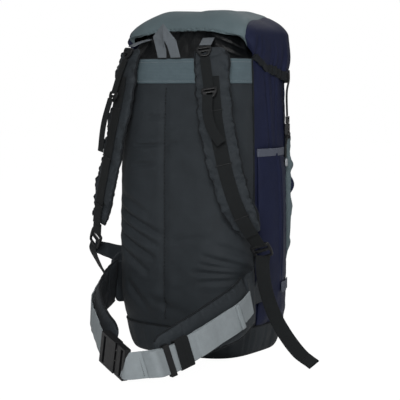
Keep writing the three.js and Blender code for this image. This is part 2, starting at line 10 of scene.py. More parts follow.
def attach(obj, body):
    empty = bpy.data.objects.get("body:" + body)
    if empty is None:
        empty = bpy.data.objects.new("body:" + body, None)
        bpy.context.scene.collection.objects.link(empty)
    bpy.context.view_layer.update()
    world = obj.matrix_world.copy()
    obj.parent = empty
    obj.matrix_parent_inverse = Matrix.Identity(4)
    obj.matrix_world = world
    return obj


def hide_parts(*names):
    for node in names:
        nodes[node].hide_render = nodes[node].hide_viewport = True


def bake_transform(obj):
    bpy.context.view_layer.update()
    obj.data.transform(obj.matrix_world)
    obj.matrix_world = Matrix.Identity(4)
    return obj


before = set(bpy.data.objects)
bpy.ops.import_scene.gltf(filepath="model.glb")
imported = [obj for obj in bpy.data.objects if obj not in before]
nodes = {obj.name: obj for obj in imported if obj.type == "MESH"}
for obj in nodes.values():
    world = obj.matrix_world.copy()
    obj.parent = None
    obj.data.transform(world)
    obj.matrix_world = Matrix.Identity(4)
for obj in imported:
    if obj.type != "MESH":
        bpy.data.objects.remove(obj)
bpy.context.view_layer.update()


# ---- numbers ---------------------------------------------------------------------------------

def mm(values):
    """Millimetres to metres, as an array."""
    return np.asarray(values, float) / 1000


def eased(pairs, at, blur):
    """A table of (position, value) pairs read with its corners rounded over the distance blur."""
    xs, ys = np.array(pairs, float).T
    return sum(np.interp(at + blur * s, xs, ys) for s in (-1, -0.5, 0, 0.5, 1)) / 5


def step(at, low, high):
    """0 below low, 1 above high, smooth between."""
    t = np.clip((at - low) / (high - low), 0, 1)
    return t * t * (3 - 2 * t)


def unit(v):
    """Vectors along the last axis, made one long."""
    return v / np.maximum(np.linalg.norm(v, axis=-1, keepdims=True), 1e-12)


LATTICE = 24


def swell(p, size, seed):
    """Smooth noise, -1 to 1: random values on a lattice of spacing size, blended between its corners."""
    values = np.random.default_rng(seed).uniform(-1, 1, (LATTICE,) * 3)
    q = np.asarray(p, float) / size
    low = np.floor(q).astype(int)
    w = q - low
    w = w * w * (3 - 2 * w)
    total = 0
    for corner in np.ndindex(2, 2, 2):
        i = (low + corner) % LATTICE
        share = np.prod(np.where(corner, w, 1 - w), axis=-1)
        total = total + share * values[i[..., 0], i[..., 1], i[..., 2]]
    return total


def crease(a, b, start, end, width, depth):
    """A valley with raised lips along the line start-end in the plane of a and b, fading at its ends."""
    start, end = np.array(start, float), np.array(end, float)
    length = np.linalg.norm(end - start)
    along = (end - start) / length
    t = (a - start[0]) * along[0] + (b - start[1]) * along[1]
    off = (a - start[0]) * -along[1] + (b - start[1]) * along[0]
    fade = np.clip(np.sin(np.pi * np.clip(t / length, 0, 1)), 0, 1) ** 0.6
    q = off / width
    return -depth * fade * (1 - 0.9 * q * q) * np.exp(-q * q / 1.6)


def curve(points, count):
    """A centripetal Catmull-Rom curve through the points, read at equal distances along it."""
    p = np.asarray(points, float)
    p = np.vstack([2 * p[0] - p[1], p, 2 * p[-1] - p[-2]])
    t = np.linspace(0, 1, 24, endpoint=False)[:, None]
    spans = []
    for a, b, c, d in zip(p[:-3], p[1:-2], p[2:-1], p[3:]):
        ab, bc, cd = (np.linalg.norm(q - r) ** 0.5 for q, r in ((b, a), (c, b), (d, c)))
        leave = ((b - a) / ab - (c - a) / (ab + bc) + (c - b) / bc) * bc
        arrive = ((c - b) / bc - (d - b) / (bc + cd) + (d - c) / cd) * bc
        spans.append(b + leave * t + (3 * c - 3 * b - 2 * leave - arrive) * t ** 2
                     + (2 * b - 2 * c + leave + arrive) * t ** 3)
    fine = np.vstack(spans + [p[-2:-1]])
    length = np.concatenate([[0], np.cumsum(np.linalg.norm(np.diff(fine, axis=0), axis=1))])
    at = np.linspace(0, length[-1], count)
    return np.stack([np.interp(at, length, fine[:, i]) for i in range(3)], axis=1)


def axes(path, up, side=1):
    """Along, across (as near to up as it can be) and out, at each point of a path."""
    along = unit(np.gradient(path, axis=0))
    up = np.broadcast_to(up, path.shape)
    across = unit(up - along * np.sum(up * along, axis=1, keepdims=True))
    return along, across, side * np.cross(along, across)


# ---- meshes ----------------------------------------------------------------------------------

def placed(name, data):
    """A new object for a mesh, curve, lamp or camera, linked to the scene."""
    obj = bpy.data.objects.new(name, data)
    bpy.context.scene.collection.objects.link(obj)
    return obj


def lay(name, grid, wrap=False, ends=False, outward=True):
    """A quad surface through grid[row, column], with its lengths in metres as the UV map.

    wrap joins the last column to the first, ends closes the first and last row with a centre point,
    and outward False turns the faces round."""
    rows, columns = grid.shape[:2]
    wide = np.concatenate([grid, grid[:, :1]], axis=1) if wrap else grid
    u = np.zeros(wide.shape[:2])
    u[:, 1:] = np.cumsum(np.linalg.norm(np.diff(wide, axis=1), axis=2), axis=1)
    u -= u[:, -1:] / 2
    v = np.zeros(rows)
    v[1:] = np.cumsum(np.linalg.norm(np.diff(grid, axis=0), axis=2).mean(axis=1))
    v = np.broadcast_to(v[:, None], wide.shape[:2])
    i, j = np.meshgrid(np.arange(rows - 1), np.arange(wide.shape[1] - 1), indexing="ij")
    corner_i = np.stack([i, i, i + 1, i + 1], axis=-1).reshape(-1, 4)
    corner_j = np.stack([j, j + 1, j + 1, j], axis=-1).reshape(-1, 4)
    faces = (corner_i * columns + corner_j % columns).tolist()
    maps = np.stack([u[corner_i, corner_j], v[corner_i, corner_j]], axis=-1).reshape(-1, 2)
    points = grid.reshape(-1, 3)
    if ends:
        for row, turn in ((0, 1), (rows - 1, -1)):
            centre = len(points)
            points = np.vstack([points, grid[row].mean(axis=0)])
            ring = np.arange(columns) + row * columns
            fan = np.stack([np.roll(ring, -1), ring, np.full(columns, centre)], axis=1)[:, ::turn]
            faces += fan.tolist()
            flat = np.tile([0.0, float(v[row, 0])], (columns * 3, 1))
            maps = np.vstack([maps, flat])
    mesh = bpy.data.meshes.new(name)
    mesh.from_pydata(points.tolist(), [], faces)
    mesh.uv_layers.new(name="UVMap").data.foreach_set("uv", maps.ravel().astype(np.float32))
    if not outward:
        mesh.flip_normals()
    if wrap and ends and signed_volume(mesh) < 0:
        mesh.flip_normals()
    mesh.shade_smooth()
    return placed(name, mesh)


@contextmanager
def edited(mesh, result=None):
    """Opens a mesh for editing and writes it back, or into another mesh, when the block ends."""
    work = bmesh.new()
    work.from_mesh(mesh)
    yield work
    work.to_mesh(result or mesh)
    work.free()


def read(obj):
    """A piece's points as an array of x, y and z."""
    co = np.empty(len(obj.data.vertices) * 3, np.float32)
    obj.data.vertices.foreach_get("co", co)
    return co.reshape(-1, 3).astype(float)


def write(obj, points):
    """Moves a piece's points to the places given."""
    obj.data.vertices.foreach_set("co", points.ravel().astype(np.float32))
    obj.data.update()


def signed_volume(mesh):
    """Sum over the triangles of corner a dot (b cross c): below zero when faces point inwards."""
    mesh.calc_loop_triangles()
    tri = np.empty(len(mesh.loop_triangles) * 3, np.int32)
    mesh.loop_triangles.foreach_get("vertices", tri)
    co = np.empty(len(mesh.vertices) * 3, np.float32)
    mesh.vertices.foreach_get("co", co)
    a, b, c = co.reshape(-1, 3)[tri.reshape(-1, 3)].transpose(1, 0, 2)
    return float(np.sum(a * np.cross(b, c)))


def walled(obj, thick, offset=-1):
    """Gives a sheet its thickness."""
    wall = obj.modifiers.new("wall", "SOLIDIFY")
    wall.thickness = thick
    wall.offset = offset
    wall.use_rim = True
    return obj


def finer(obj, levels=1):
    fine = obj.modifiers.new("fine", "SUBSURF")
    fine.levels = fine.render_levels = levels
    return obj


def finish(obj, body, slot, material, *replaced):
    """Gives a piece its material, the body it rides on and the CAD nodes it stands for; slot is not used."""
    obj.data.materials.clear()
    obj.data.materials.append(material)
    if replaced:
        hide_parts(*replaced)
    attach(obj, body)
    return obj


def strip(path, across, out, width, thick, lift=0, shift=0):
    """A flat strip with round edges: a section of 7 points on each face and 4 round each edge."""
    face = np.linspace(-1, 1, 7)
    turn = np.radians([65, 25, -25, -65])
    one, none = np.ones(4), np.zeros(7)
    a = np.concatenate([face, one, face[::-1], -one])
    b = np.concatenate([none, np.cos(turn), none, -np.cos(turn)])
    c = np.concatenate([none + 1, np.sin(turn), none - 1, -np.sin(turn)])
    width, thick, lift, shift = (np.broadcast_to(q, len(path))[:, None] for q in (width, thick, lift, shift))
    x = a * (width - thick) / 2 + b * thick / 2 + shift
    y = c * thick / 2 + lift
    return path[:, None] + across[:, None] * x[..., None] + out[:, None] * y[..., None]


def cushion_section(width, thick, count):
    """Points evenly spaced round a superellipse, as shares of half the width and thickness."""
    phi = np.linspace(0, 2 * np.pi, 721)
    x = np.sign(np.cos(phi)) * np.abs(np.cos(phi)) ** 0.6
    y = np.sign(np.sin(phi)) * np.abs(np.sin(phi)) ** 0.75
    run = np.hypot(np.diff(x) * width, np.diff(y) * thick)
    at = np.concatenate([[0], np.cumsum(run)])
    spots = np.linspace(0, at[-1], count, endpoint=False)
    return np.interp(spots, at, x), np.interp(spots, at, y)


def tube(path, radius, sides=8):
    """A round section carried along a path."""
    along = unit(np.gradient(path, axis=0))
    up = np.where(np.abs(along[:, 2:3]) > 0.8, np.array([[0.0, 1.0, 0.0]]), np.array([[0.0, 0.0, 1.0]]))
    up = np.broadcast_to(up[len(up) // 2], path.shape)
    return rings(path, along, up, radius, sides)


def rings(path, along, up, radius, sides):
    """A ring of points at each point of a path: cosine of the turn sideways, sine of it upwards."""
    side = unit(np.cross(along, up))
    top = np.cross(side, along)
    turn = np.linspace(0, 2 * np.pi, sides, endpoint=False)[:, None]
    radius = np.broadcast_to(radius, len(path))[:, None, None]
    return path[:, None] + radius * (side[:, None] * np.cos(turn) + top[:, None] * np.sin(turn))


STITCH_TURNS = 6


def stitches(name, path, out, length=0.0034, pitch=0.0060, radius=0.00055):
    """A row of thread stitches: each is a six-sided spindle that dips into the cloth at both ends."""
    run = np.concatenate([[0], np.cumsum(np.linalg.norm(np.diff(path, axis=0), axis=1))])
    count = max(2, int(run[-1] / pitch))
    at = (np.arange(count) + 0.5) * run[-1] / count
    spread = np.linspace(-0.5, 0.5, 5)
    where = at[:, None] + spread * length
    centre = np.stack([np.interp(where, run, path[:, i]) for i in range(3)], axis=-1)
    normal = unit(np.stack([np.interp(where, run, out[:, i]) for i in range(3)], axis=-1))
    along = unit(centre[:, -1:] - centre[:, :1])
    side = np.cross(np.broadcast_to(along, normal.shape), normal)
    bow = np.cos(spread * np.pi)
    turn = np.linspace(0, 2 * np.pi, STITCH_TURNS, endpoint=False)
    ring = (side[:, :, None] * np.cos(turn)[:, None] + normal[:, :, None] * np.sin(turn)[:, None])
    points = centre + normal * ((bow - 0.45) * radius)[:, None]
    points = points[:, :, None] + ring * (radius * (0.35 + 0.65 * bow))[:, None, None]
    each = 5 * STITCH_TURNS
    k = np.arange(STITCH_TURNS)
    quads = np.concatenate([np.stack([r * STITCH_TURNS + k, r * STITCH_TURNS + (k + 1) % STITCH_TURNS,
                                      (r + 1) * STITCH_TURNS + (k + 1) % STITCH_TURNS,
                                      (r + 1) * STITCH_TURNS + k], axis=1) for r in range(4)])
    shift = np.arange(count)[:, None, None] * each
    faces = (quads + shift).reshape(-1, 4).tolist()
    faces += (k[::-1] + shift[:, 0]).tolist() + (k + 4 * STITCH_TURNS + shift[:, 0]).tolist()
    mesh = bpy.data.meshes.new(name)
    mesh.from_pydata(points.reshape(-1, 3).tolist(), [], faces)
    if signed_volume(mesh) < 0:
        mesh.flip_normals()
    mesh.shade_smooth()
    return placed(name, mesh)


def rounded(corners, radius, steps=4):
    """An outline with each corner cut back and turned as a quadratic curve."""
    p = np.asarray(corners, float)
    before, after = np.roll(p, 1, axis=0) - p, np.roll(p, -1, axis=0) - p
    radius = np.broadcast_to(radius, len(p))[:, None]
    cut_in = p + unit(before) * np.minimum(radius, 0.48 * np.linalg.norm(before, axis=1, keepdims=True))
    cut_out = p + unit(after) * np.minimum(radius, 0.48 * np.linalg.norm(after, axis=1, keepdims=True))
    t = np.linspace(0, 1, steps + 1)[None, :, None]
    arc = (1 - t) ** 2 * cut_in[:, None] + 2 * t * (1 - t) * p[:, None] + t ** 2 * cut_out[:, None]
    return arc.reshape(-1, 2)


def plate(name, outlines, thick, edge, place):
    """A moulded plate: flat outlines (the first outside, the rest holes), extruded with round edges.

    The outlines lie in the plane of across (x) and along (y); place turns them into the frame."""
    flat = bpy.data.curves.new(name, "CURVE")
    flat.dimensions = "2D"
    flat.fill_mode = "BOTH"
    flat.extrude = thick / 2 - edge
    flat.bevel_depth = edge
    flat.bevel_resolution = 2
    flat.offset = -edge
    for outline in outlines:
        line = flat.splines.new("POLY")
        line.points.add(len(outline) - 1)
        line.points.foreach_set("co", np.hstack([outline, np.zeros((len(outline), 1)),
                                                 np.ones((len(outline), 1))]).ravel())
        line.use_cyclic_u = True
    holder = placed(name, flat)
    bpy.context.view_layer.update()
    evaluated = holder.evaluated_get(bpy.context.evaluated_depsgraph_get())
    mesh = bpy.data.meshes.new_from_object(evaluated)
    bpy.data.objects.remove(holder)
    mesh.name = name
    mesh.transform(place)
    clean(mesh)
    return placed(name, mesh)


def clean(mesh, turn=True):
    """Joins doubled points, turns the faces outwards and shades the round edges smoothly."""
    with edited(mesh) as work:
        bmesh.ops.remove_doubles(work, verts=work.verts, dist=1e-5)
        if turn:
            bmesh.ops.recalc_face_normals(work, faces=work.faces)
    mesh.shade_smooth()
    mesh.set_sharp_from_angle(angle=np.radians(40))


def moulded(node, body, material, width, segments=3):
    """A CAD node's shape as a moulding, with its edges rounded; it stands for that node."""
    mesh = nodes[node].data.copy()
    clean(mesh, turn=False)
    obj = placed(node + "_moulding", mesh)
    edge = obj.modifiers.new("edge", "BEVEL")
    edge.width = width
    edge.segments = segments
    edge.limit_method = "ANGLE"
    edge.angle_limit = np.radians(35)
    edge.harden_normals = True
    return finish(obj, body, "hardware", material, node)


def place_at(at, across, along, out):
    """The placement whose x, y and z axes are across, along and out."""
    rows = np.stack([across, along, out, at], axis=1)
    return Matrix([[float(q) for q in row] for row in rows] + [[0, 0, 0, 1]])


# ---- cloth -----------------------------------------------------------------------------------

settling = []


def settle_later(obj, held, pressure, grow, cap, stiffness=15):
    """Puts a piece on the list that settle_all blows up and wrinkles as cloth."""
    settling.append((obj, held, pressure, grow, cap, stiffness))


def settle_all(last_frame=20):
    """Runs the cloth of all listed pieces at once, then keeps each point within its piece's cap."""
    scene = bpy.context.scene
    rest = {}
    for obj, held, pressure, grow, cap, stiffness in settling:
        rest[obj.name] = read(obj)
        group = obj.vertex_groups.new(name="held")
        group.add(np.flatnonzero(held).tolist(), 1.0, "REPLACE")
        cloth = obj.modifiers.new("cloth", "CLOTH")
        s = cloth.settings
        s.quality = 5
        s.mass = 0.15
        s.tension_stiffness = s.compression_stiffness = stiffness
        s.shear_stiffness = stiffness / 2
        s.bending_stiffness = 0.2
        s.effector_weights.gravity = 0
        s.use_pressure = True
        s.uniform_pressure_force = pressure
        s.shrink_min = -grow
        s.vertex_group_mass = "held"
        cloth.collision_settings.use_collision = False
        cloth.point_cache.frame_start = 1
        cloth.point_cache.frame_end = last_frame
    for f in range(1, last_frame + 1):
        scene.frame_set(f)
    graph = bpy.context.evaluated_depsgraph_get()
    for obj, held, pressure, grow, cap, stiffness in settling:
        moved = read(obj.evaluated_get(graph)) - rest[obj.name]
        size = np.linalg.norm(moved, axis=1, keepdims=True)
        moved *= np.minimum(1, cap / np.maximum(size, 1e-9))
        result = rest[obj.name] + np.nan_to_num(moved)
        obj.modifiers.remove(obj.modifiers["cloth"])
        obj.vertex_groups.clear()
        write(obj, result)
    scene.frame_set(1)


# ---- materials -------------------------------------------------------------------------------

def shade(red, green, blue):
    """A colour given as screen values from 0 to 255, made linear."""
    c = np.array([red, green, blue]) / 255
    c = np.where(c <= 0.04045, c / 12.92, ((c + 0.055) / 1.055) ** 2.4)
    return (*(float(q) for q in c), 1.0)


class Link:
    """A node's output; arithmetic on it adds Math nodes."""

    def __init__(self, finish, socket):
        self.finish, self.socket = finish, socket

    def calc(self, operation, a, b=0.0):
        return self.finish.node("ShaderNodeMath", {"operation": operation}, {0: a, 1: b})

    def __add__(self, other):
        return self.calc("ADD", self, other)

    def __sub__(self, other):
        return self.calc("SUBTRACT", self, other)

    def __rsub__(self, other):
        return self.calc("SUBTRACT", other, self)

    def __mul__(self, other):
        return self.calc("MULTIPLY", self, other)

    def __truediv__(self, other):
        return self.calc("DIVIDE", self, other)

    def __pow__(self, other):
        return self.calc("POWER", self, other)

    def sin(self):
        return self.calc("SINE", self)

    def abs(self):
        return self.calc("ABSOLUTE", self)

    __radd__ = __add__
    __rmul__ = __mul__


class Finish:
    """One material and the nodes that make it."""

    def __init__(self, name, **constants):
        self.material = bpy.data.materials.new(name)
        self.material.use_nodes = True
        self.tree = self.material.node_tree
        self.shader = self.tree.nodes["Principled BSDF"]
        for key, value in constants.items():
            self.shader.inputs[key.replace("_", " ")].default_value = value

    def node(self, kind, settings=None, inputs=None, out=0):
        made = self.tree.nodes.new(kind)
        for key, value in (settings or {}).items():
            if key == "stops":
                ramp = made.color_ramp.elements
                for element, (at, colour) in zip((ramp[0], ramp[1]), value):
                    element.position, element.color = at, colour
            else:
                setattr(made, key, value)
        for key, value in (inputs or {}).items():
            self.feed(made.inputs[key], value)
        return Link(self, made.outputs[out])

    def feed(self, socket, value):
        if isinstance(value, Link):
            self.tree.links.new(value.socket, socket)
        else:
            socket.default_value = value

    def uv(self):
        """The two coordinates of the piece's own map, in metres across and along the cloth."""
        both = self.node("ShaderNodeUVMap", {"uv_map": "UVMap"})
        apart = "ShaderNodeSeparateXYZ"
        return self.node(apart, None, {0: both}), self.node(apart, None, {0: both}, 1)

    def place(self):
        return self.node("ShaderNodeTexCoord", None, None, "Object")

    def noise(self, size, detail=2.0, rough=0.5, at=None, distort=0.0):
        return self.node("ShaderNodeTexNoise", None, {"Vector": at or self.place(), "Scale": 1 / size,
                                                     "Detail": detail, "Roughness": rough,
                                                     "Distortion": distort})

    def mix(self, share, a, b):
        return self.node("ShaderNodeMix", {"data_type": "RGBA"}, {0: share, 6: a, 7: b}, 2)

    def bump(self, height, distance, strength=1.0):
        normal = self.node("ShaderNodeBump", None, {"Strength": strength, "Distance": distance,
                                                    "Height": height})
        self.feed(self.shader.inputs["Normal"], normal)

    def colour(self, value):
        self.feed(self.shader.inputs["Base Color"], value)

    def rough(self, value):
        self.feed(self.shader.inputs["Roughness"], value)


FULL_TURN = 2 * np.pi


def pack_cloth(name, dark, light, rough, level, sheen, pitch=0.0011):
    """Coated nylon: a plain weave, faint ripstop lines, mottling and slight rubbing on high places."""
    f = Finish(name, Specular_IOR_Level=level, Sheen_Weight=sheen, Sheen_Roughness=0.45)
    u, v = f.uv()
    weave = (u * (FULL_TURN / pitch)).sin() * (v * (FULL_TURN / pitch)).sin()
    rip = 1.0 - ((u * (np.pi / 0.0062)).sin() * (v * (np.pi / 0.0062)).sin()).abs()
    rip = rip ** 14.0
    mottle = f.noise(0.035, 3.0, 0.55)
    fine = f.noise(0.0022, 2.0, 0.6)
    tone = mottle * 0.55 + fine * 0.25 + weave * 0.06 + 0.08
    f.colour(f.mix(tone, dark, light))
    f.rough(rough + (mottle - 0.5) * 0.14)
    f.bump(weave * 0.35 + rip * 0.5 + fine * 0.7 + mottle * 2.2, 0.00035, 0.5)
    return f.material


def web_weave(name, dark, light, pitch, level=0.25, ribs=1.0, twill=0.5, rough=0.78):
    """Woven webbing: ribs across it and a zigzag twill in columns."""
    f = Finish(name, Specular_IOR_Level=level * 0.4, Sheen_Weight=0.02, Sheen_Roughness=0.5)
    u, v = f.uv()
    zig = f.node("ShaderNodeMath", {"operation": "PINGPONG"}, {0: u, 1: 0.0032})
    rib = ((v + zig * 1.1) * (FULL_TURN / pitch)).sin()
    column = (u * (FULL_TURN / (pitch * 0.9))).sin()
    wear = f.noise(0.012, 3.0, 0.6)
    fine = f.noise(0.0012, 1.0, 0.5)
    height = rib * (0.5 * twill) + column * (0.3 * ribs)
    tone = height * 0.16 + wear * 0.45 + fine * 0.3 + 0.12
    f.colour(f.mix(tone, dark, light))
    f.rough(rough + (wear - 0.5) * 0.12)
    f.bump(height + fine * 0.6, 0.00045, 0.6)
    return f.material


def hard_plastic(name, dark, light, rough=0.34):
    """Moulded acetal: fine grain, faint flow marks and dull scuffs."""
    f = Finish(name, Specular_IOR_Level=0.26)
    scuff = f.noise(0.006, 4.0, 0.65, distort=0.6)
    grain = f.noise(0.0007, 1.0, 0.5)
    f.colour(f.mix(scuff * 0.8, dark, light))
    f.rough(rough + (scuff - 0.4) * 0.3)
    f.bump(grain * 0.7 + scuff, 0.00018, 0.5)
    return f.material


def soft_foam(name, dark, light):
    """Closed-cell foam: small cells under a thin skin."""
    f = Finish(name, Specular_IOR_Level=0.2)
    cells = f.node("ShaderNodeTexVoronoi", None, {"Vector": f.place(), "Scale": 700.0})
    cloud = f.noise(0.02, 3.0)
    f.colour(f.mix(cloud * 0.7 + cells * 0.3, dark, light))
    f.rough(0.85 + cloud * 0.1)
    f.bump(cells, 0.0004, 0.6)
    return f.material


def drawn_metal(name, dark, light, rough=0.3):
    """Drawn alloy: fine lines along it, a few duller patches."""
    f = Finish(name, Metallic=1.0)
    stretch = f.node("ShaderNodeMapping", None, {"Vector": f.place(), "Scale": (900.0, 900.0, 25.0)})
    lines = f.noise(1.0, 2.0, 0.5, at=stretch)
    patch = f.noise(0.02, 3.0)
    f.colour(f.mix(lines * 0.6 + patch * 0.3, dark, light))
    f.rough(rough + (patch - 0.5) * 0.15 + (lines - 0.5) * 0.1)
    f.bump(lines, 0.00006, 0.6)
    return f.material


def thread(name, dark, light):
    """Bonded sewing thread, with its twist as fine slanting lines."""
    f = Finish(name, Specular_IOR_Level=0.3)
    twist = f.node("ShaderNodeTexWave", {"bands_direction": "DIAGONAL"},
                   {"Vector": f.place(), "Scale": 1300.0, "Distortion": 0.5})
    f.colour(f.mix(twist * 0.6 + f.noise(0.01) * 0.4, dark, light))
    f.rough(0.62 + twist * 0.1)
    f.bump(twist, 0.0001, 0.4)
    return f.material


black_nylon = pack_cloth("black_nylon", shade(27, 30, 33), shade(46, 51, 55), 0.66, 0.12, 0.02)
gloss_nylon = pack_cloth("collar_nylon", shade(4, 5, 6), shade(13, 15, 17), 0.38, 0.20, 0.0)
navy_nylon = pack_cloth("navy_nylon", shade(15, 18, 36), shade(28, 33, 57), 0.60, 0.10, 0.0)
teal_nylon = pack_cloth("teal_nylon", shade(68, 80, 84), shade(90, 103, 107), 0.64, 0.14, 0.02)
belt_grey = web_weave("belt_webbing", shade(103, 109, 112), shade(137, 144, 147), 0.0022,
                      ribs=1.2, twill=0.35)
handle_grey = web_weave("handle_webbing", shade(68, 73, 77), shade(97, 102, 107), 0.0018)
yoke_grey = web_weave("yoke_webbing", shade(58, 70, 76), shade(84, 97, 102), 0.0032, ribs=1.6, twill=0.5)
black_webbing = web_weave("black_webbing", shade(13, 15, 16), shade(28, 30, 31), 0.0026, twill=0.9)
binding_grey = web_weave("binding_tape", shade(56, 59, 70), shade(86, 90, 100), 0.0014, twill=0.3)
black_binding = web_weave("black_binding", shade(14, 16, 18), shade(30, 33, 36), 0.0014, twill=0.3)
plastic = hard_plastic("black_plastic", shade(7, 8, 9), shade(16, 17, 19), 0.42)
pale_plastic = hard_plastic("grey_plastic", shade(120, 124, 128), shade(165, 168, 172), 0.5)
foam = soft_foam("back_foam", shade(58, 60, 62), shade(86, 88, 92))
sheet_plastic = hard_plastic("frame_sheet", shade(180, 184, 182), shade(212, 215, 213), 0.5)
alloy = drawn_metal("stay_alloy", shade(150, 154, 158), shade(200, 203, 206))
zip_metal = drawn_metal("zip_metal", shade(70, 72, 75), shade(120, 122, 126), 0.4)
black_thread = thread("black_thread", shade(6, 7, 8), shade(24, 26, 28))
grey_thread = thread("grey_thread", shade(90, 96, 99), shade(135, 140, 143))


# ---- the camera, the light and the floor -----------------------------------------------------

LAMPS = (("key", (1.35, -2.35, 1.5), 0.9, 66), ("fill", (2.8, -0.2, 1.5), 1.8, 10),
         ("rear", (0.0, 1.6, 2.8), 2.2, 36))   # name, place, size in metres, power in watts


def studio():
    """A long lens from the back right, three soft lamps, a pale floor and an even surround."""
    scene = bpy.context.scene
    scene.view_settings.view_transform = "Standard"
    lens = bpy.data.cameras.new("camera")
    lens.lens = 111.4
    lens.shift_x, lens.shift_y = -0.0125, -0.0617
    eye = placed("camera", lens)
    azimuth, elevation, distance = np.radians(35), np.radians(4), 2.6
    aim = Vector((0, 0, 0.36))
    level = np.cos(elevation)
    away = Vector((np.sin(azimuth) * level, -np.cos(azimuth) * level, np.sin(elevation)))
    eye.location = aim + away * distance
    eye.rotation_euler = (-away).to_track_quat("-Z", "Y").to_euler()
    scene.camera = eye
    for name, spot, size, power in LAMPS:
        lamp = bpy.data.lights.new(name, "AREA")
        lamp.energy, lamp.size = power, size
        holder = placed(name, lamp)
        holder.location = spot
        holder.rotation_euler = (aim - Vector(spot)).to_track_quat("-Z", "Y").to_euler()
    surround()
    floor_finish = Finish("floor", Roughness=0.9, Specular_IOR_Level=0.1)
    cloudy = floor_finish.noise(0.4, 2.0)
    floor_finish.colour(floor_finish.mix(cloudy, shade(243, 243, 243), shade(248, 248, 248)))
    ground = lay("floor", np.stack(np.meshgrid(np.linspace(-9, 9, 3), np.linspace(-9, 9, 3), [0.0],
                                               indexing="ij"), axis=-1).reshape(3, 3, 3))
    ground.data.transform(Matrix.Translation((0, 0, -0.0005)))
    ground.data.materials.append(floor_finish.material)
    glow(floor_finish)


def glow(finish, share=0.94):
    """Lifts the floor towards white for the camera only; its shadow stays."""
    tree = finish.tree
    light = tree.nodes.new("ShaderNodeEmission")
    light.inputs["Color"].default_value = (1, 1, 1, 1)
    light.inputs["Strength"].default_value = 1.05
    seen = finish.node("ShaderNodeLightPath", None, None, "Is Camera Ray") * share
    blend = tree.nodes.new("ShaderNodeMixShader")
    finish.feed(blend.inputs[0], seen)
    tree.links.new(finish.shader.outputs[0], blend.inputs[1])
    tree.links.new(light.outputs[0], blend.inputs[2])
    tree.links.new(blend.outputs[0], tree.nodes["Material Output"].inputs["Surface"])


def surround(level=0.25):
    """An even white world, dimmer for the light it throws on the object."""
    world = bpy.data.worlds.new("surround")
    bpy.context.scene.world = world
    world.use_nodes = True
    tree = world.node_tree
    path = tree.nodes.new("ShaderNodeLightPath")
    seen = tree.nodes.new("ShaderNodeMath")
    seen.operation = "MAXIMUM"
    tree.links.new(path.outputs["Is Camera Ray"], seen.inputs[0])
    tree.links.new(path.outputs["Is Transmission Ray"], seen.inputs[1])
    lift = tree.nodes.new("ShaderNodeMath")
    lift.operation = "MULTIPLY_ADD"
    tree.links.new(seen.outputs[0], lift.inputs[0])
    lift.inputs[1].default_value = 1 - level
    lift.inputs[2].default_value = level
    tree.links.new(lift.outputs[0], tree.nodes["Background"].inputs["Strength"])
    tree.nodes["Background"].inputs["Color"].default_value = (1, 1, 1, 1)


# ---- the bag's own surface -------------------------------------------------------------------

BAG_HALF = (0.150, 0.135)
PLAN_POWER = 3.4
BAG_TOP = 0.602
BASE_RISE = 0.060
GIRTH = ((0, 0.8), (0.060, 1), (0.110, 1.015), (0.220, 1.02), (0.330, 1.01), (0.450, 1), (0.560, 0.985),
         (0.602, 0.965))
SEAM, FRONT_SEAM = 73, 125       # degrees round from the spine: back meets side, side meets front
CLOTH = 0.0014


def plan(angle, half, power):
    """Point and outward direction of a superellipse at an angle round from -Y towards +X."""
    s, c = np.sin(angle), np.cos(angle)
    r = (np.abs(s / half[0]) ** power + np.abs(c / half[1]) ** power) ** (-1 / power)
    x, y = r * s, -r * c
    nx = np.sign(x) * np.abs(x / half[0]) ** (power - 1) / half[0]
    ny = np.sign(y) * np.abs(y / half[1]) ** (power - 1) / half[1]
    size = np.hypot(nx, ny)
    return x, y, nx / size, ny / size


def on_bag(degrees, z, proud=0.0):
    """The bag's wall at an angle and a height, proud outside it: the plan scaled by the girth."""
    degrees, z, proud = np.broadcast_arrays(np.asarray(degrees, float), z, proud)
    x, y, nx, ny = plan(np.radians(degrees), BAG_HALF, PLAN_POWER)
    girth = eased(GIRTH, z, 0.02)
    return np.stack([x * girth + nx * proud, y * girth + ny * proud, z], axis=-1)


def bag_grid(angles, heights, columns, rows):
    """Angles, heights and the shares u and v over a piece of the bag's wall."""
    u, v = np.meshgrid(np.linspace(0, 1, columns), np.linspace(0, 1, rows))
    return angles[0] + (angles[1] - angles[0]) * u, heights[0] + (heights[1] - heights[0]) * v, u, v


def across_back(degrees):
    """Distance from the spine round the wall at mid height, in metres."""
    fine = np.linspace(-180, 180, 721)
    wall = on_bag(fine, 0.3)
    run = np.concatenate([[0], np.cumsum(np.linalg.norm(np.diff(wall, axis=0), axis=1))])
    return np.interp(degrees, fine, run - run[360])


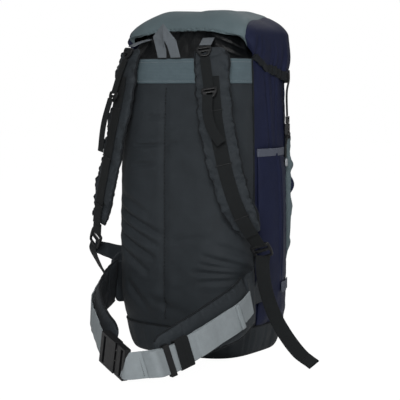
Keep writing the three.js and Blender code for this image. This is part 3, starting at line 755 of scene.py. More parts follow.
BACK_CREASES = (   # across from the spine, height: start, end, width, depth
    ((-0.082, 0.425), (-0.004, 0.430), 0.0045, 0.0030), ((-0.088, 0.384), (-0.020, 0.392), 0.0060, 0.0022),
    ((0.004, 0.462), (0.040, 0.468), 0.0050, 0.0014), ((0.003, 0.432), (0.036, 0.436), 0.0050, 0.0016),
    ((-0.052, 0.486), (-0.003, 0.482), 0.0060, 0.0014),
    ((-0.140, 0.300), (-0.004, 0.246), 0.0075, 0.0036), ((-0.140, 0.276), (-0.010, 0.222), 0.0080, 0.0032),
    ((-0.140, 0.250), (-0.020, 0.196), 0.0075, 0.0036), ((-0.136, 0.222), (-0.035, 0.166), 0.0080, 0.0028),
    ((-0.138, 0.330), (-0.030, 0.284), 0.0090, 0.0022),
    ((0.205, 0.178), (0.085, 0.212), 0.0060, 0.0040), ((0.205, 0.176), (0.080, 0.196), 0.0050, 0.0036),
    ((0.205, 0.174), (0.060, 0.178), 0.0060, 0.0040), ((0.205, 0.170), (0.075, 0.158), 0.0070, 0.0030),
    ((0.200, 0.200), (0.110, 0.236), 0.0070, 0.0026), ((0.020, 0.236), (0.110, 0.250), 0.0080, 0.0016),
    ((-0.060, 0.120), (0.060, 0.090), 0.0120, 0.0024), ((-0.105, 0.150), (-0.040, 0.090), 0.0110, 0.0028),
)


def back_proud(degrees, z):
    """How far the padded back stands out: crowned either side of the spine, creased and a little slack."""
    s = across_back(degrees)
    edge = step(np.abs(s), 0.215, 0.150)
    ends = step(z, 0.062, 0.12) * step(z, 0.556, 0.480)
    crown = 0.0075 * edge * ends * (1 - 0.55 * np.exp(-(s / 0.010) ** 2))
    slack = swell(np.stack([s, z * 0.8, z * 0], axis=-1), 0.055, 3) * 0.0016
    slack += swell(np.stack([s, z * 1.6, z * 0], axis=-1), 0.020, 4) * 0.0006
    folds = sum(crease(s, z, *line) for line in BACK_CREASES) * (2.1 - 0.6 * step(s, -0.02, 0.04))
    level = step(z, 0.06, 0.08) * step(z, 0.580, 0.535)
    return 0.0006 + crown + (slack + folds) * np.clip(edge + 0.35, 0, 1) * level


def sewn_panels():
    """Back, sides and front: sheets of the bag's wall, each standing out in its own way."""
    degrees, z, _, _ = bag_grid((-SEAM, SEAM), (BASE_RISE, BAG_TOP), 141, 181)
    back = lay("back_cloth", on_bag(degrees, z, back_proud(degrees, z)))
    walled(back, CLOTH)
    finish(back, "pack", "black_nylon", black_nylon, "back_panel")
    spine_z = np.linspace(0.075, 0.545, 160)
    spine = on_bag(0.15, spine_z, back_proud(0.15 + 0 * spine_z, spine_z) + 0.0013)
    row = stitches("spine_stitch", spine, np.tile([0.0, -1.0, 0.0], (160, 1)), 0.0042, 0.0072, 0.0013)
    finish(row, "pack", "black_nylon", black_thread)
    for name, side in (("left", 1), ("right", -1)):
        degrees, z, u, v = bag_grid((SEAM * side, FRONT_SEAM * side), (BASE_RISE, BAG_TOP), 61, 151)
        full = np.sin(np.pi * u) ** 0.7 * np.sin(np.pi * np.clip(v, 0, 1)) ** 0.5
        gathers = swell(np.stack([u * 0.13, z * 0.25, z * 0], -1), 0.011, 8) * 0.0022 * step(v, 0.70, 0.96)
        slack = swell(np.stack([u * 0.15, z * 0.7, z * 0], axis=-1), 0.045, 11 + side) * 0.0022
        down = (crease(u, v, (0.30, 0.98), (0.42, 0.62), 0.035, 0.0030)
                + crease(u, v, (0.62, 0.97), (0.55, 0.66), 0.035, 0.0022))
        loose = (slack + down) * np.sin(np.pi * u) ** 0.5
        wall = on_bag(degrees, z, 0.0006 + 0.0035 * full + gathers + loose)
        panel = lay(f"side_cloth_{name}", wall, outward=side > 0)
        walled(panel, CLOTH)
        finish(panel, "pack", "navy_nylon", navy_nylon, f"side_panel_{name}")
    degrees, z, u, _ = bag_grid((FRONT_SEAM, 360 - FRONT_SEAM), (BASE_RISE, BAG_TOP), 101, 151)
    slack = swell(np.stack([u * 0.3, z * 0.8, z * 0], axis=-1), 0.05, 17) * 0.0025
    front = lay("front_cloth", on_bag(degrees, z, 0.0006 + (0.003 + slack) * np.sin(np.pi * u) ** 0.6))
    walled(front, CLOTH)
    finish(front, "pack", "teal_nylon", teal_nylon, "front_panel")
    for name, degrees, finish_of, slot in (("back_seam_left", SEAM, black_binding, "black_nylon"),
                                           ("back_seam_right", -SEAM, black_binding, "black_nylon"),
                                           ("front_seam_left", FRONT_SEAM, navy_nylon, "navy_nylon"),
                                           ("front_seam_right", -FRONT_SEAM, navy_nylon, "navy_nylon")):
        z = np.linspace(BASE_RISE, BAG_TOP, 90)
        line = on_bag(degrees, z, 0.0012 + 0.0005 * np.sin(z * 210) * np.sin(z * 57))
        piping = lay(name, tube(line, 0.0021), wrap=True, ends=True)
        finish(piping, "pack", slot, finish_of)


def base():
    """The bag's bottom: a dish of the plan's outline, gathered where it turns up into the walls."""
    turn_up = 0.85 + 0.15 * np.sin(np.linspace(0.06, 1, 16) * np.pi / 2)
    k = np.concatenate([np.linspace(0.02, 0.83, 10), turn_up])
    z = np.where(k <= 0.85, 0.0, BASE_RISE * np.clip((k - 0.85) / 0.15, 0, 1) ** 2.5)
    z[-1] = BASE_RISE + 0.001
    degrees = np.linspace(0, 360, 180, endpoint=False)
    x, y, nx, ny = plan(np.radians(degrees), BAG_HALF, PLAN_POWER)
    rise = np.clip(z / BASE_RISE, 0, 1)[:, None]
    around = np.radians(degrees)
    pleats = np.sin(around * 37 + 2.5 * np.sin(around * 5)) * 0.5 + np.sin(around * 61 + 1.3) * 0.3
    drift = swell(np.stack([x, y, y * 0], -1), 0.03, 23)
    lift = (pleats * 0.0022 + drift * 0.003) * np.sin(np.pi * rise) ** 0.8
    wide, deep = k[:, None] * x + nx * lift, k[:, None] * y + ny * lift
    grid = np.stack([wide, deep, np.broadcast_to(z[:, None], lift.shape)], axis=-1)
    dish = lay("base_cloth", grid, wrap=True, ends=True)
    opened(dish, len(k) * 180 + 1)
    turned(dish, -1)
    walled(dish, CLOTH)
    finish(dish, "pack", "black_nylon", black_nylon, "base_panel")
    binding = lay("base_binding", loop_tube(on_bag(degrees, BASE_RISE + 0.001, 0.0016), 0.0024), wrap=True)
    finish(closed_loop(binding), "pack", "black_nylon", black_binding)


def opened(obj, last):
    """Takes away the closing point with that number and its fan, so that the piece stays open there."""
    with edited(obj.data) as work:
        work.verts.ensure_lookup_table()
        bmesh.ops.delete(work, geom=[work.verts[last]], context="VERTS")


def turned(obj, way):
    """Turns a dish's or a dome's faces outwards, judged by its highest (way 1) or lowest (way -1) face."""
    with edited(obj.data) as work:
        tip = max(work.faces, key=lambda face: way * face.calc_center_median().z)
        if way * tip.normal.z < 0:
            bmesh.ops.reverse_faces(work, faces=work.faces)
    obj.data.shade_smooth()


def loop_tube(path, radius, sides=8):
    """A round section carried round a closed loop, as rows that meet again."""
    along = unit(np.roll(path, -1, axis=0) - np.roll(path, 1, axis=0))
    grid = rings(path, along, np.broadcast_to([0.0, 0.0, 1.0], path.shape), radius, sides)
    return np.concatenate([grid, grid[:1]])


def closed_loop(obj):
    """Joins the first and last rows of a loop and turns its faces outwards."""
    with edited(obj.data) as work:
        bmesh.ops.remove_doubles(work, verts=work.verts, dist=1e-6)
        bmesh.ops.recalc_face_normals(work, faces=work.faces)
    obj.data.shade_smooth()
    return obj


MOUTH_HALF = (0.126, 0.096)
MOUTH_Y = 0.017
COLLAR_TOP = 0.640


def on_collar(degrees, rise, proud):
    """The storm collar between the panels' top edge (rise 0) and its mouth (rise 1)."""
    low = on_bag(degrees, BAG_TOP, proud)
    x, y, nx, ny = plan(np.radians(degrees), MOUTH_HALF, PLAN_POWER)
    high = np.stack([x + nx * proud, MOUTH_Y + y + ny * proud, np.full_like(x, COLLAR_TOP)], axis=-1)
    share = np.broadcast_to(rise, x.shape)[..., None]
    wall = low + (high - low) * share
    top = COLLAR_TOP + 0.017 * step(np.cos(np.radians(degrees)), 0.2, 0.8)
    wall[..., 2] = BAG_TOP - 0.002 + (top - BAG_TOP + 0.002) * np.broadcast_to(rise, x.shape)
    return wall


def collar():
    """Thin glossy cloth gathered to the mouth, with a rolled hem."""
    degrees = np.linspace(0, 360, 288, endpoint=False)
    rise = np.linspace(0, 1, 26)[:, None]
    a = np.radians(degrees)
    ripple = 0.55 * np.sin(a * 17 + 1.8 * np.sin(a * 3 + 0.4)) + 0.45 * np.sin(a * 29 + 2.2 * np.sin(a * 5))
    ripple = ripple + 0.3 * np.sin(a * 53 + 3 * rise)
    drift = swell(np.stack(np.broadcast_arrays(np.cos(a) * 0.2, np.sin(a) * 0.2, rise * 0.08), -1), 0.035, 31)
    proud = (ripple * 0.0026 + drift * 0.0036) * np.sin(np.pi * np.clip(rise * 0.62, 0, 1)) - 0.001
    back = np.cos(a) > 0
    folded = (degrees + 180) % 360 - 180
    arcs = crease(folded + 0 * rise, rise * 60, (24, 48), (62, 6), 3.0, 0.0042)
    arcs = arcs + crease(folded + 0 * rise, rise * 60, (30, 56), (66, 26), 2.6, 0.0034)
    arcs = arcs + crease(folded + 0 * rise, rise * 60, (-14, 50), (-2, 8), 2.4, 0.0030)
    arcs = arcs + crease(folded + 0 * rise, rise * 60, (8, 54), (20, 12), 2.6, 0.0030)
    grid = on_collar(np.broadcast_to(degrees, proud.shape), rise, proud + arcs * back)
    skin = lay("collar_cloth", grid, wrap=True)
    turned_outward(skin)
    walled(skin, 0.0009)
    finish(skin, "pack", "black_nylon", gloss_nylon, "storm_collar")
    hem = lay("collar_hem", loop_tube(grid[-1], 0.0030), wrap=True)
    finish(closed_loop(hem), "pack", "black_nylon", gloss_nylon)


def turned_outward(obj, centre=(0.0, 0.0)):
    """Turns an upright shell's faces away from a vertical line."""
    mesh = obj.data
    normal = np.empty(len(mesh.polygons) * 3, np.float32)
    middle = np.empty(len(mesh.polygons) * 3, np.float32)
    mesh.polygons.foreach_get("normal", normal)
    mesh.polygons.foreach_get("center", middle)
    away = middle.reshape(-1, 3)[:, :2] - np.array(centre)
    if np.sum(normal.reshape(-1, 3)[:, :2] * away) < 0:
        mesh.flip_normals()


def yoke():
    """The ribbed webbing band across the top of the back, with a stitch line near each edge."""
    low, high = 0.552, 0.601
    reach = SEAM - 2
    degrees = np.linspace(-reach, reach, 110)
    middle = (low + high) / 2
    path = on_bag(degrees, np.full(110, middle), 0.0)
    out = on_bag(degrees, np.full(110, middle), 1.0) - path
    lean = on_bag(degrees, np.full(110, high), 0.0) - on_bag(degrees, np.full(110, low), 0.0)
    across = unit(lean)
    lift = back_proud(degrees, np.full(110, middle)) + 0.0024
    strip_piece("yoke_webbing", path, -across, out, high - low, 0.0024, "pack", "grey_webbing", yoke_grey,
                "yoke_band", lift=lift)
    for name, shift in (("yoke_stitch_top", 0.018), ("yoke_stitch_low", -0.020)):
        line = path + across * shift + out * (lift + 0.0013)[:, None]
        finish(stitches(name, line, out, 0.003, 0.0045, 0.0004), "pack", "grey_webbing", grey_thread)


# ---- pockets ---------------------------------------------------------------------------------

def pouch_stand(u, v, bulge, square=0.5):
    """How far a pocket's wall stands off: sine of the width times a quick rise from the bottom."""
    over_width = np.sin(np.pi * np.clip(u, 0, 1)) ** square
    return bulge * over_width * np.sin(np.pi / 2 * np.clip(v * 2.2, 0, 1)) ** 0.7


def side_pockets():
    """Bellows pockets with one long pleat, bound along the top with grey tape."""
    low, high, bulge = 0.062, 0.420, 0.015
    for name, side in (("left", 1), ("right", -1)):
        degrees, z, u, v = bag_grid((77, 124), (low, high), 81, 121)
        cad = np.clip(u * 47 / 39, 0, 1)
        stand = pouch_stand(cad, v, bulge) * (1 - 0.35 * step(v, 0.85, 1.0))
        drift = swell(np.stack([u * 0.12, z * 0.5, z * 0 + side], -1), 0.05, 41) * 0.0024
        pleat_at = 0.50 + 0.10 * (1 - v)
        valley = -0.0140 * np.exp(-((u - pleat_at) / 0.020) ** 2)
        lip = 0.0030 * np.exp(-((u - pleat_at + 0.06) / 0.03) ** 2)
        pleat = (valley + lip) * step(v, 0.22, 0.45) * step(v, 1.0, 0.93)
        tucks = swell(np.stack([u * 0.12, z * 0.3, z * 0], -1), 0.010, 43) * 0.0018 * step(v, 0.35, 0.05)
        wall = on_bag(degrees * side, z, 0.0024 + stand + (drift + tucks) * np.sin(np.pi * u) ** 0.4 + pleat)
        pocket = lay(f"side_pocket_cloth_{name}", wall, outward=side > 0)
        walled(pocket, CLOTH)
        finish(pocket, "pack", "navy_nylon", navy_nylon, f"side_pocket_{name}")
        edge = wall[-1]
        out = unit(on_bag(degrees[-1] * side, z[-1], 1.0) - on_bag(degrees[-1] * side, z[-1], 0.0))
        down = np.tile([0.0, 0.0, 1.0], (81, 1))
        strip_piece(f"side_pocket_binding_{name}", edge - down * 0.007, down * -side, out, 0.0165, 0.0034,
                    "pack", "grey_webbing", binding_grey, lift=-0.0003)
        strip_angle = np.linspace(103, FRONT_SEAM + 0.5, 24) * side
        low_z = np.full(24, 0.134)
        share = (np.abs(strip_angle) - 77) / 47
        lift = 0.0052 + pouch_stand(np.clip(share * 47 / 39, 0, 1), (low_z - low) / (high - low), bulge)
        path = on_bag(strip_angle, low_z, 0.0)
        out = unit(on_bag(strip_angle, low_z, 1.0) - path)
        up = np.tile([0.0, 0.0, 1.0 * side], (24, 1))
        strip_piece(f"pocket_strip_{name}", path, -up, out, 0.022, 0.0018, "pack", "grey_webbing",
                    binding_grey, lift=lift)


def front_pocket():
    """The stretch pocket over the front: full, with sags across it, bound along its top edge."""
    low, high, bulge = 0.170, 0.448, 0.041
    degrees, z, u, v = bag_grid((128, 232), (low, high), 121, 101)
    stand = pouch_stand(u, v, bulge, 0.36) * (1 - 0.15 * step(v, 0.8, 1.0))
    sags = swell(np.stack([u * 0.20, z * 1.5, z * 0], -1), 0.030, 52) * 0.0042
    sags = sags + np.sin(z * 150 + 2.2 * np.sin(u * 7)) * 0.0026 * np.sin(np.pi * u) ** 0.3
    wall = on_bag(degrees, z, 0.0012 + stand + sags * step(u, 0, 0.06) * step(u, 1, 0.94) * step(v, 0, 0.1))
    pocket = lay("front_pocket_cloth", wall)
    held = (u < 0.02) | (u > 0.98) | (v < 0.02) | (v > 0.985)
    settle_later(pocket, held.ravel(), 1.2, 0.05, 0.005)
    finish(pocket, "pack", "teal_nylon", teal_nylon, "front_pocket")
    return pocket, wall.shape


def front_pocket_trim(pocket, shape):
    """Binding on the front pocket's edge and a navy tab at its corner, once the cloth has settled."""
    wall = read(pocket).reshape(shape)
    walled(pocket, CLOTH)
    edge = wall[-1]
    up = np.tile([0.0, 0.0, 1.0], edge.shape[:1] + (1,))
    out = unit(np.cross(up, np.gradient(edge, axis=0)))
    out *= np.sign(np.sum(out * (edge - [0, 0, edge[0, 2]]), axis=1, keepdims=True))
    strip_piece("front_pocket_binding", edge - up * 0.005, -up, out, 0.013, 0.0034, "pack", "black_nylon",
                black_binding)
    for name, side in (("left", 1), ("right", -1)):
        z = np.linspace(0.357, 0.322, 14)
        path = on_bag(131.0 * side, z, 0.012 + 0.008 * np.sin(np.linspace(0, np.pi, 14)))
        _, across, away = axes(path, np.array([side * 0.4, 0.9, 0.0]))
        strip_piece(f"pocket_tab_{name}", path, across, away, 0.009, 0.0030, "pack", "navy_nylon", navy_nylon)


# ---- lid -------------------------------------------------------------------------------------

LID_HALF = (0.154, 0.112)
LID_Y = 0.030
SHOULDER = 0.650
DOME = 0.055
CAP_X = 0.124                    # the seam between crown and cap at y 0; it leans forwards
CAP_LEAN = 0.30
RIM = ((0, 0.646), (53, 0.646), (65, 0.604), (78, 0.578), (110, 0.558), (180, 0.548))


def rim_at(degrees):
    """The height of the lid's lower edge, the same on both sides of the back's middle."""
    folded = np.abs((np.asarray(degrees, float) + 540) % 360 - 180)
    return eased(RIM, folded, 2.5)


def on_lid(degrees, k, level, proud=0.0):
    """The lid: a plan scaled by k, squarer at the back, whose wall hangs from the shoulder to the rim."""
    degrees, k, level, proud = np.broadcast_arrays(np.asarray(degrees, float), k, level, proud)
    angle = np.radians(degrees)
    x, y, nx, ny = plan(angle, LID_HALF, np.where(np.cos(angle) > 0, 6.0, 3.2))
    fall = np.clip((SHOULDER - level) / 0.1, 0, 1)
    z = np.where(level > SHOULDER, level, SHOULDER + (rim_at(degrees) - SHOULDER) * fall)
    return np.stack([x * k + nx * proud, y * k + ny * proud + LID_Y, z], axis=-1)


def lid_grid(columns=288):
    """Rows from the crown's middle over the shoulder to the rim; proud is the cloth's own fullness."""
    k = 1 - (1 - np.linspace(0.02, 1, 34)) ** 1.7
    dome = SHOULDER + DOME * (1 - k ** 2.6) ** 0.6
    wall = np.linspace(0, 1, 27)[1:]
    k = np.concatenate([k, 1 - 0.014 * wall ** 2])
    level = np.concatenate([dome, SHOULDER - 0.1 * wall])
    fall = np.concatenate([np.zeros(34), wall])[:, None]
    degrees = np.linspace(0, 360, columns, endpoint=False)
    a = np.radians(degrees)
    height = SHOULDER - rim_at(degrees)
    round_rim = np.stack([a * 0.154, 0 * a, 0 * a], axis=-1)
    gather = swell(round_rim, 0.011, 63) * 0.9 + swell(round_rim, 0.0048, 64) * 0.5
    side_ness = step(np.abs(np.sin(a)), 0.60, 0.86)
    pull = gather * 0.0044 * side_ness * np.clip(fall, 0, 1) ** 1.1 * np.clip(height / 0.05, 0, 1)
    pull = pull + gather * 0.0012 * (1 - side_ness) * fall ** 2
    puckers = np.sin(a * 71 + 3 * np.sin(a * 9)) * 0.0014 * (np.cos(a) > 0.3) * np.clip(fall * 6, 0, 1)
    flat = np.stack(np.broadcast_arrays(k[:, None] * np.sin(a) * 0.154, k[:, None] * np.cos(a) * 0.112,
                                        level[:, None] * 0.7), -1)
    drift = swell(flat, 0.060, 61) * 0.0040 + swell(flat, 0.022, 62) * 0.0012
    belly = 0.0035 * np.sin(np.pi * np.clip(fall, 0, 1)) * side_ness
    sink = -0.006 * fall ** 3 * side_ness
    proud = (drift * (0.35 + 0.65 * side_ness) + pull + puckers + belly + sink)
    flat_points = on_lid(degrees, k[:, None], level[:, None], proud * step(k[:, None], 0.5, 0.95))
    flat_points[..., 2] += drift * 1.1 * (1 - step(k[:, None], 0.6, 1.0))
    arch = 0.0125 * np.exp(-(flat_points[..., 0] / 0.105) ** 4) * step(np.cos(a), 0.2, 0.75)
    flat_points[..., 2] += arch * step(k[:, None], 0.35, 1.0)
    flat_points[..., 2] += 0.0008 * swell(round_rim, 0.009, 65) * (np.cos(a) > 0) * fall
    flat_points[..., 0] -= 0.006 * step(-flat_points[..., 0], 0.09, 0.154)
    seam = np.abs(np.abs(flat_points[..., 0]) + CAP_LEAN * flat_points[..., 1] - CAP_X)
    inward = unit(np.array([0, LID_Y, 0.6]) - flat_points)
    return flat_points + inward * (0.0016 * np.exp(-(seam / 0.0028) ** 2))[..., None], degrees


def cut(obj, name, planes):
    """A copy of a mesh with everything in front of each plane (point, direction) cut away."""
    mesh = bpy.data.meshes.new(name)
    with edited(obj.data, mesh) as work:
        for point, direction in planes:
            everything = work.verts[:] + work.edges[:] + work.faces[:]
            bmesh.ops.bisect_plane(work, geom=everything, plane_co=point, plane_no=direction,
                                   clear_outer=True)
    mesh.shade_smooth()
    return placed(name, mesh)


def lid():
    """Teal crown between two navy end caps, gathered into an elastic hem, with a zip at the front."""
    grid, degrees = lid_grid()
    rows = len(grid)
    whole = lay("lid_whole", grid, wrap=True, ends=True)
    opened(whole, rows * len(degrees) + 1)
    turned(whole, 1)
    for name, planes, cloth, slot in (
            ("lid_crown", (((CAP_X, 0, 0), (1, CAP_LEAN, 0)), ((-CAP_X, 0, 0), (-1, CAP_LEAN, 0))),
             teal_nylon, "teal_nylon"),
            ("lid_cap_left", (((CAP_X, 0, 0), (-1, -CAP_LEAN, 0)),), navy_nylon, "navy_nylon"),
            ("lid_cap_right", (((-CAP_X, 0, 0), (1, -CAP_LEAN, 0)),), navy_nylon, "navy_nylon")):
        part = cut(whole, name + "_cloth", planes)
        walled(part, 0.0018)
        finish(part, "lid", slot, cloth, name)
    bpy.data.objects.remove(whole)
    around = (degrees > 64) & (degrees < 296)
    rim = grid[-1][around]
    angle = degrees[around]
    path = rim.copy()
    path[:, 2] = rim_at(angle) + 0.0075 + 0.0008 * np.sin(np.radians(angle) * 40)
    up = np.tile([0.0, 0.0, 1.0], path.shape[:1] + (1,))
    _, across, out = axes(path, up)
    ripple = 0.0050 + 0.0005 * np.sin(np.radians(angle) * 97)
    hem = strip(path, across, out, 0.0190, 0.0034, ripple)
    if np.mean(np.sum(out * (path - [0, LID_Y, 0.6]), axis=1)) < 0:
        hem = strip(path, across, -out, 0.0190, 0.0034, ripple)
    finish(lay("lid_elastic_hem", hem, wrap=True, ends=True), "lid", "black_nylon", black_binding, "lid_hem")
    low = (degrees < 49) | (degrees > 311)
    order = np.argsort((degrees[low] + 180) % 360)
    back_edge = grid[-1][low][order]
    fold = lay("lid_back_fold", tube(back_edge + [0, 0, 0.001], 0.0022), wrap=True, ends=True)
    finish(fold, "lid", "teal_nylon", teal_nylon)
    lid_zip()


ZIP_Z = 0.622


def lid_zip():
    """Tape and coil of the lid pocket's zip."""
    degrees = np.linspace(142.5, 217.5, 90)
    path = on_lid(degrees, 1.0, SHOULDER, 0.0)
    path[:, 2] = ZIP_Z
    out = on_lid(degrees, 1.0, SHOULDER, 1.0) - on_lid(degrees, 1.0, SHOULDER, 0.0)
    up = np.tile([0.0, 0.0, 1.0], (90, 1))
    strip_piece("zip_tape", path, -up, out, 0.017, 0.0016, "lid", "black_nylon", black_binding,
                "lid_zip_tape", lift=0.0024)
    coil = stitches("zip_coil", path + out * 0.0034, up, 0.0016, 0.0022, 0.0016)
    finish(coil, "lid", "hardware", plastic)
    moulded("lid_zip_slider", "zip_slider", zip_metal, 0.0006)


def lid_straps():
    """The two straps that hold the lid down, with their side-release buckles."""
    for name, side in (("left", 1), ("right", -1)):
        angle = 121.0 * side
        out = on_bag(angle, 0.45, 1.0) - on_bag(angle, 0.45, 0.0)
        across = unit(np.cross(np.array([0.0, 0.0, -1.0]), out))
        at = partial(on_bag, angle)
        upper = curve([at(0.580, 0.0150), at(0.560, 0.0140), at(0.536, 0.0090), at(0.4849, 0.0086)], 40)
        lower = curve([at(0.4447, 0.0090), at(0.4247, 0.0050), at(0.3997, 0.0044)], 24)
        for part, path, replaced, body in (("lid_strap", upper, "lid_strap_", "lid"),
                                           ("lid_anchor", lower, "lid_anchor_", "pack")):
            _, sideways, away = axes(path, across)
            strip_piece(f"{part}_webbing_{name}", path, sideways, away, LIFT_WEB, WEB, body, "black_webbing",
                        black_webbing, replaced + name)
        moulded(f"lid_buckle_guide_{name}", "lid", plastic, 0.0007)
        moulded(f"lid_buckle_housing_{name}", "pack", plastic, 0.0009)
        end = at(0.388, 0.0060)
        ring = rounded([(-0.011, -0.008), (0.011, -0.008), (0.011, 0.008), (-0.011, 0.008)], 0.007)
        patch = plate(f"anchor_patch_{name}", [ring], 0.0030, 0.0010,
                      place_at(end, across, np.array([0.0, 0.0, 1.0]), out))
        finish(patch, "pack", "grey_webbing", pale_plastic)


# ---- padded pieces and webbing ----------------------------------------------------------------

def pad(name, path, across, out, width, thick, count=40, pucker=0.0, seed=1, cap_rows=4):
    """A padded strap: an even superellipse section carried along a path, drawn in at both ends.

    The edges pucker: noise along the path that grows with the share across, raised to the power 2.5."""
    rows = len(path)
    x, y = cushion_section(0.068, 0.014, count)
    t = np.linspace(0, 1, rows)
    ends = np.minimum(1, np.minimum(np.arange(rows), np.arange(rows)[::-1]) / cap_rows)
    slim = (0.25 + 0.75 * np.sin(np.pi / 2 * ends))[:, None]
    run = np.linalg.norm(np.diff(path, axis=0), axis=1).sum() * t
    where = np.stack(np.broadcast_arrays(run[:, None], x * 0.02, y * 0.01), axis=-1)
    edge = np.abs(x) ** 2.5
    ruck = (swell(where, 0.0065, seed) * 0.7 + swell(where, 0.013, seed + 1) * 0.6) * pucker * edge
    width, thick = (np.broadcast_to(q, rows)[:, None] for q in (width, thick))
    sideways = x * width / 2 * (0.9 + 0.1 * slim) + np.sign(x) * ruck * 0.6
    outwards = y * thick / 2 * slim + ruck
    grid = path[:, None] + across[:, None] * sideways[..., None] + out[:, None] * outwards[..., None]
    obj = lay(name, grid, wrap=True, ends=True)
    held = (np.abs(y) < 0.35) & (np.abs(x) > 0.8)
    held = np.broadcast_to(held, (rows, count)) | (ends[:, None] < 0.3)
    return obj, grid.shape, np.append(held.ravel(), [True, True]), (int(np.argmax(x)), int(np.argmin(x)))


def edge_binding(name, obj, shape, column, body, radius=0.0022):
    """A bound edge that follows one column of a settled pad."""
    grid = read(obj)[:shape[0] * shape[1]].reshape(shape)
    line = grid[1:-1, column]
    line = (np.roll(line, 1, axis=0) + line * 2 + np.roll(line, -1, axis=0)) / 4
    trim = lay(name, tube(line[1:-1], radius), wrap=True, ends=True)
    return finish(trim, body, "black_nylon", black_binding)


def strip_piece(name, path, across, out, width, thick, body, slot, material, *replaced, lift=0, shift=0):
    """A finished strip of webbing or tape, closed at both ends."""
    band = lay(name, strip(path, across, out, width, thick, lift, shift), wrap=True, ends=True)
    return finish(band, body, slot, material, *replaced)


PAD_WIDTH, PAD_THICK = 0.068, 0.014
PAD_ROWS = 96
STRAP_WEB, LIFT_WEB, WEB = 0.028, 0.020, 0.0018

HARNESS = {
    "left": {
        "side": 1, "yaw": 28,
        "pad": mm([[100, -122, 622], [107, -131, 597], [121, -145, 540], [134, -149, 462],
                   [156, -144, 365], [172, -130, 306], [186, -104, 258]]),
        "lock": mm([191, -76, 222]),
        "tab": mm([[189, -66, 203], [178, -57, 165], [162, -50, 112]]),
        "tail": mm([[192, -74, 213], [194, -80, 196], [204, -84, 150],
                    [232, -86, 90], [282, -88, 34], [318, -89, 14]]),
        "lift_lock": mm([124, -164, 541]),
        "lift_tail": mm([[129, -176, 530], [132, -180, 495], [142, -178, 462], [157, -170, 437]]),
    },
    "right": {
        "side": -1, "yaw": 19,
        "pad": mm([[-93, -122, 622], [-97, -131, 597], [-100, -145, 530], [-111, -155, 457],
                   [-131, -156, 375], [-149, -152, 313], [-164, -146, 262]]),
        "lock": mm([-184, -138, 228]),
        "tab": mm([[-190, -131, 210], [-180, -98, 198], [-160, -48, 180]]),
        "tail": mm([[-189, -137, 219], [-195, -134, 204], [-207, -98, 165],
                    [-206, -70, 128], [-210, -68, 85], [-232, -84, 55]]),
        "lift_lock": mm([-110, -164, 533]),
        "lift_tail": mm([[-113, -173, 522], [-120, -181, 484], [-127, -184, 448], [-133, -184, 414]]),
    },
}


def shoulder_pads():
    """The two padded straps; returned with their grids so that trim can follow them once settled."""
    made = {}
    for name, spec in HARNESS.items():
        side = spec["side"]
        yaw = np.radians(spec["yaw"]) * side
        path = curve(spec["pad"], PAD_ROWS)
        t = np.linspace(0, 1, PAD_ROWS)
        along, across, out = axes(path, np.array([np.cos(yaw), np.sin(yaw), 0.0]))
        width = PAD_WIDTH * eased(((0, 0.82), (0.06, 1), (0.6, 1), (0.9, 0.9), (1, 0.6)), t, 0.02)
        thick = PAD_THICK * eased(((0, 0.6), (0.1, 1), (0.92, 1), (1, 0.6)), t, 0.02)
        thick = thick * (1 - 0.35 * np.exp(-((t - 0.885) / 0.012) ** 2))
        obj, shape, held, columns = pad(f"shoulder_pad_cloth_{name}", path, across, out, width * 0.985,
                                        thick * 0.92, 44, 0.0072, 70 + side)
        settle_later(obj, held, 3.5, 0.04, 0.0020)
        finish(obj, "pack", "padding", black_nylon, f"shoulder_pad_{name}")
        made[name] = (obj, shape, columns, path, across, out, t)
    return made


def lock_outline(w):
    """A ladder lock, seen flat: a frame about the strap with a middle bar and a rounded lip."""
    half = w / 2 + 0.006
    outer = rounded([(-half, -0.0035), (half, -0.0035), (half * 1.02, w * 0.55), (half * 0.86, w * 1.08),
                     (-half * 0.86, w * 1.08), (-half * 1.02, w * 0.55)], 0.0055)
    inner = w / 2 + 0.001
    slot_a = rounded([(-inner, 0.003), (inner, 0.003), (inner, w * 0.30), (-inner, w * 0.30)], 0.0015)
    slot_b = rounded([(-inner, w * 0.52), (inner, w * 0.52), (inner * 0.92, w * 0.92),
                      (-inner * 0.92, w * 0.92)], 0.0022)
    return [outer, slot_a[::-1], slot_b[::-1]]


def point_outline(w):
    """The load lifter's lock: a bar across the webbing and a blunt point below it, with one round hole."""
    half = w / 2 + 0.0055
    outer = rounded([(-half, -0.003), (half, -0.003), (half, w * 0.34), (half * 0.52, w * 0.95),
                     (-half * 0.52, w * 0.95), (-half, w * 0.34)], 0.0055)
    inner = w / 2 + 0.0008
    slot = rounded([(-inner, 0.002), (inner, 0.002), (inner, w * 0.24), (-inner, w * 0.24)], 0.0014)
    hole = rounded([(-w * 0.34, w * 0.46), (w * 0.34, w * 0.46), (w * 0.16, w * 0.78),
                    (-w * 0.16, w * 0.78)], 0.003)
    return [outer, slot[::-1], hole[::-1]]


def teeth(name, at, across, along, out, w, rows, body):
    """Ridges that grip the webbing: a few round bars across a lock's middle bar."""
    bars = [lay(f"{name}_{i}", tube(at + along * (i - (rows - 1) / 2) * 0.0017 + out * 0.0026
                                    + across * np.linspace(-w / 2, w / 2, 6)[:, None], 0.0009, 6),
                wrap=True, ends=True) for i in range(rows)]
    for bar in bars:
        finish(bar, body, "hardware", plastic)


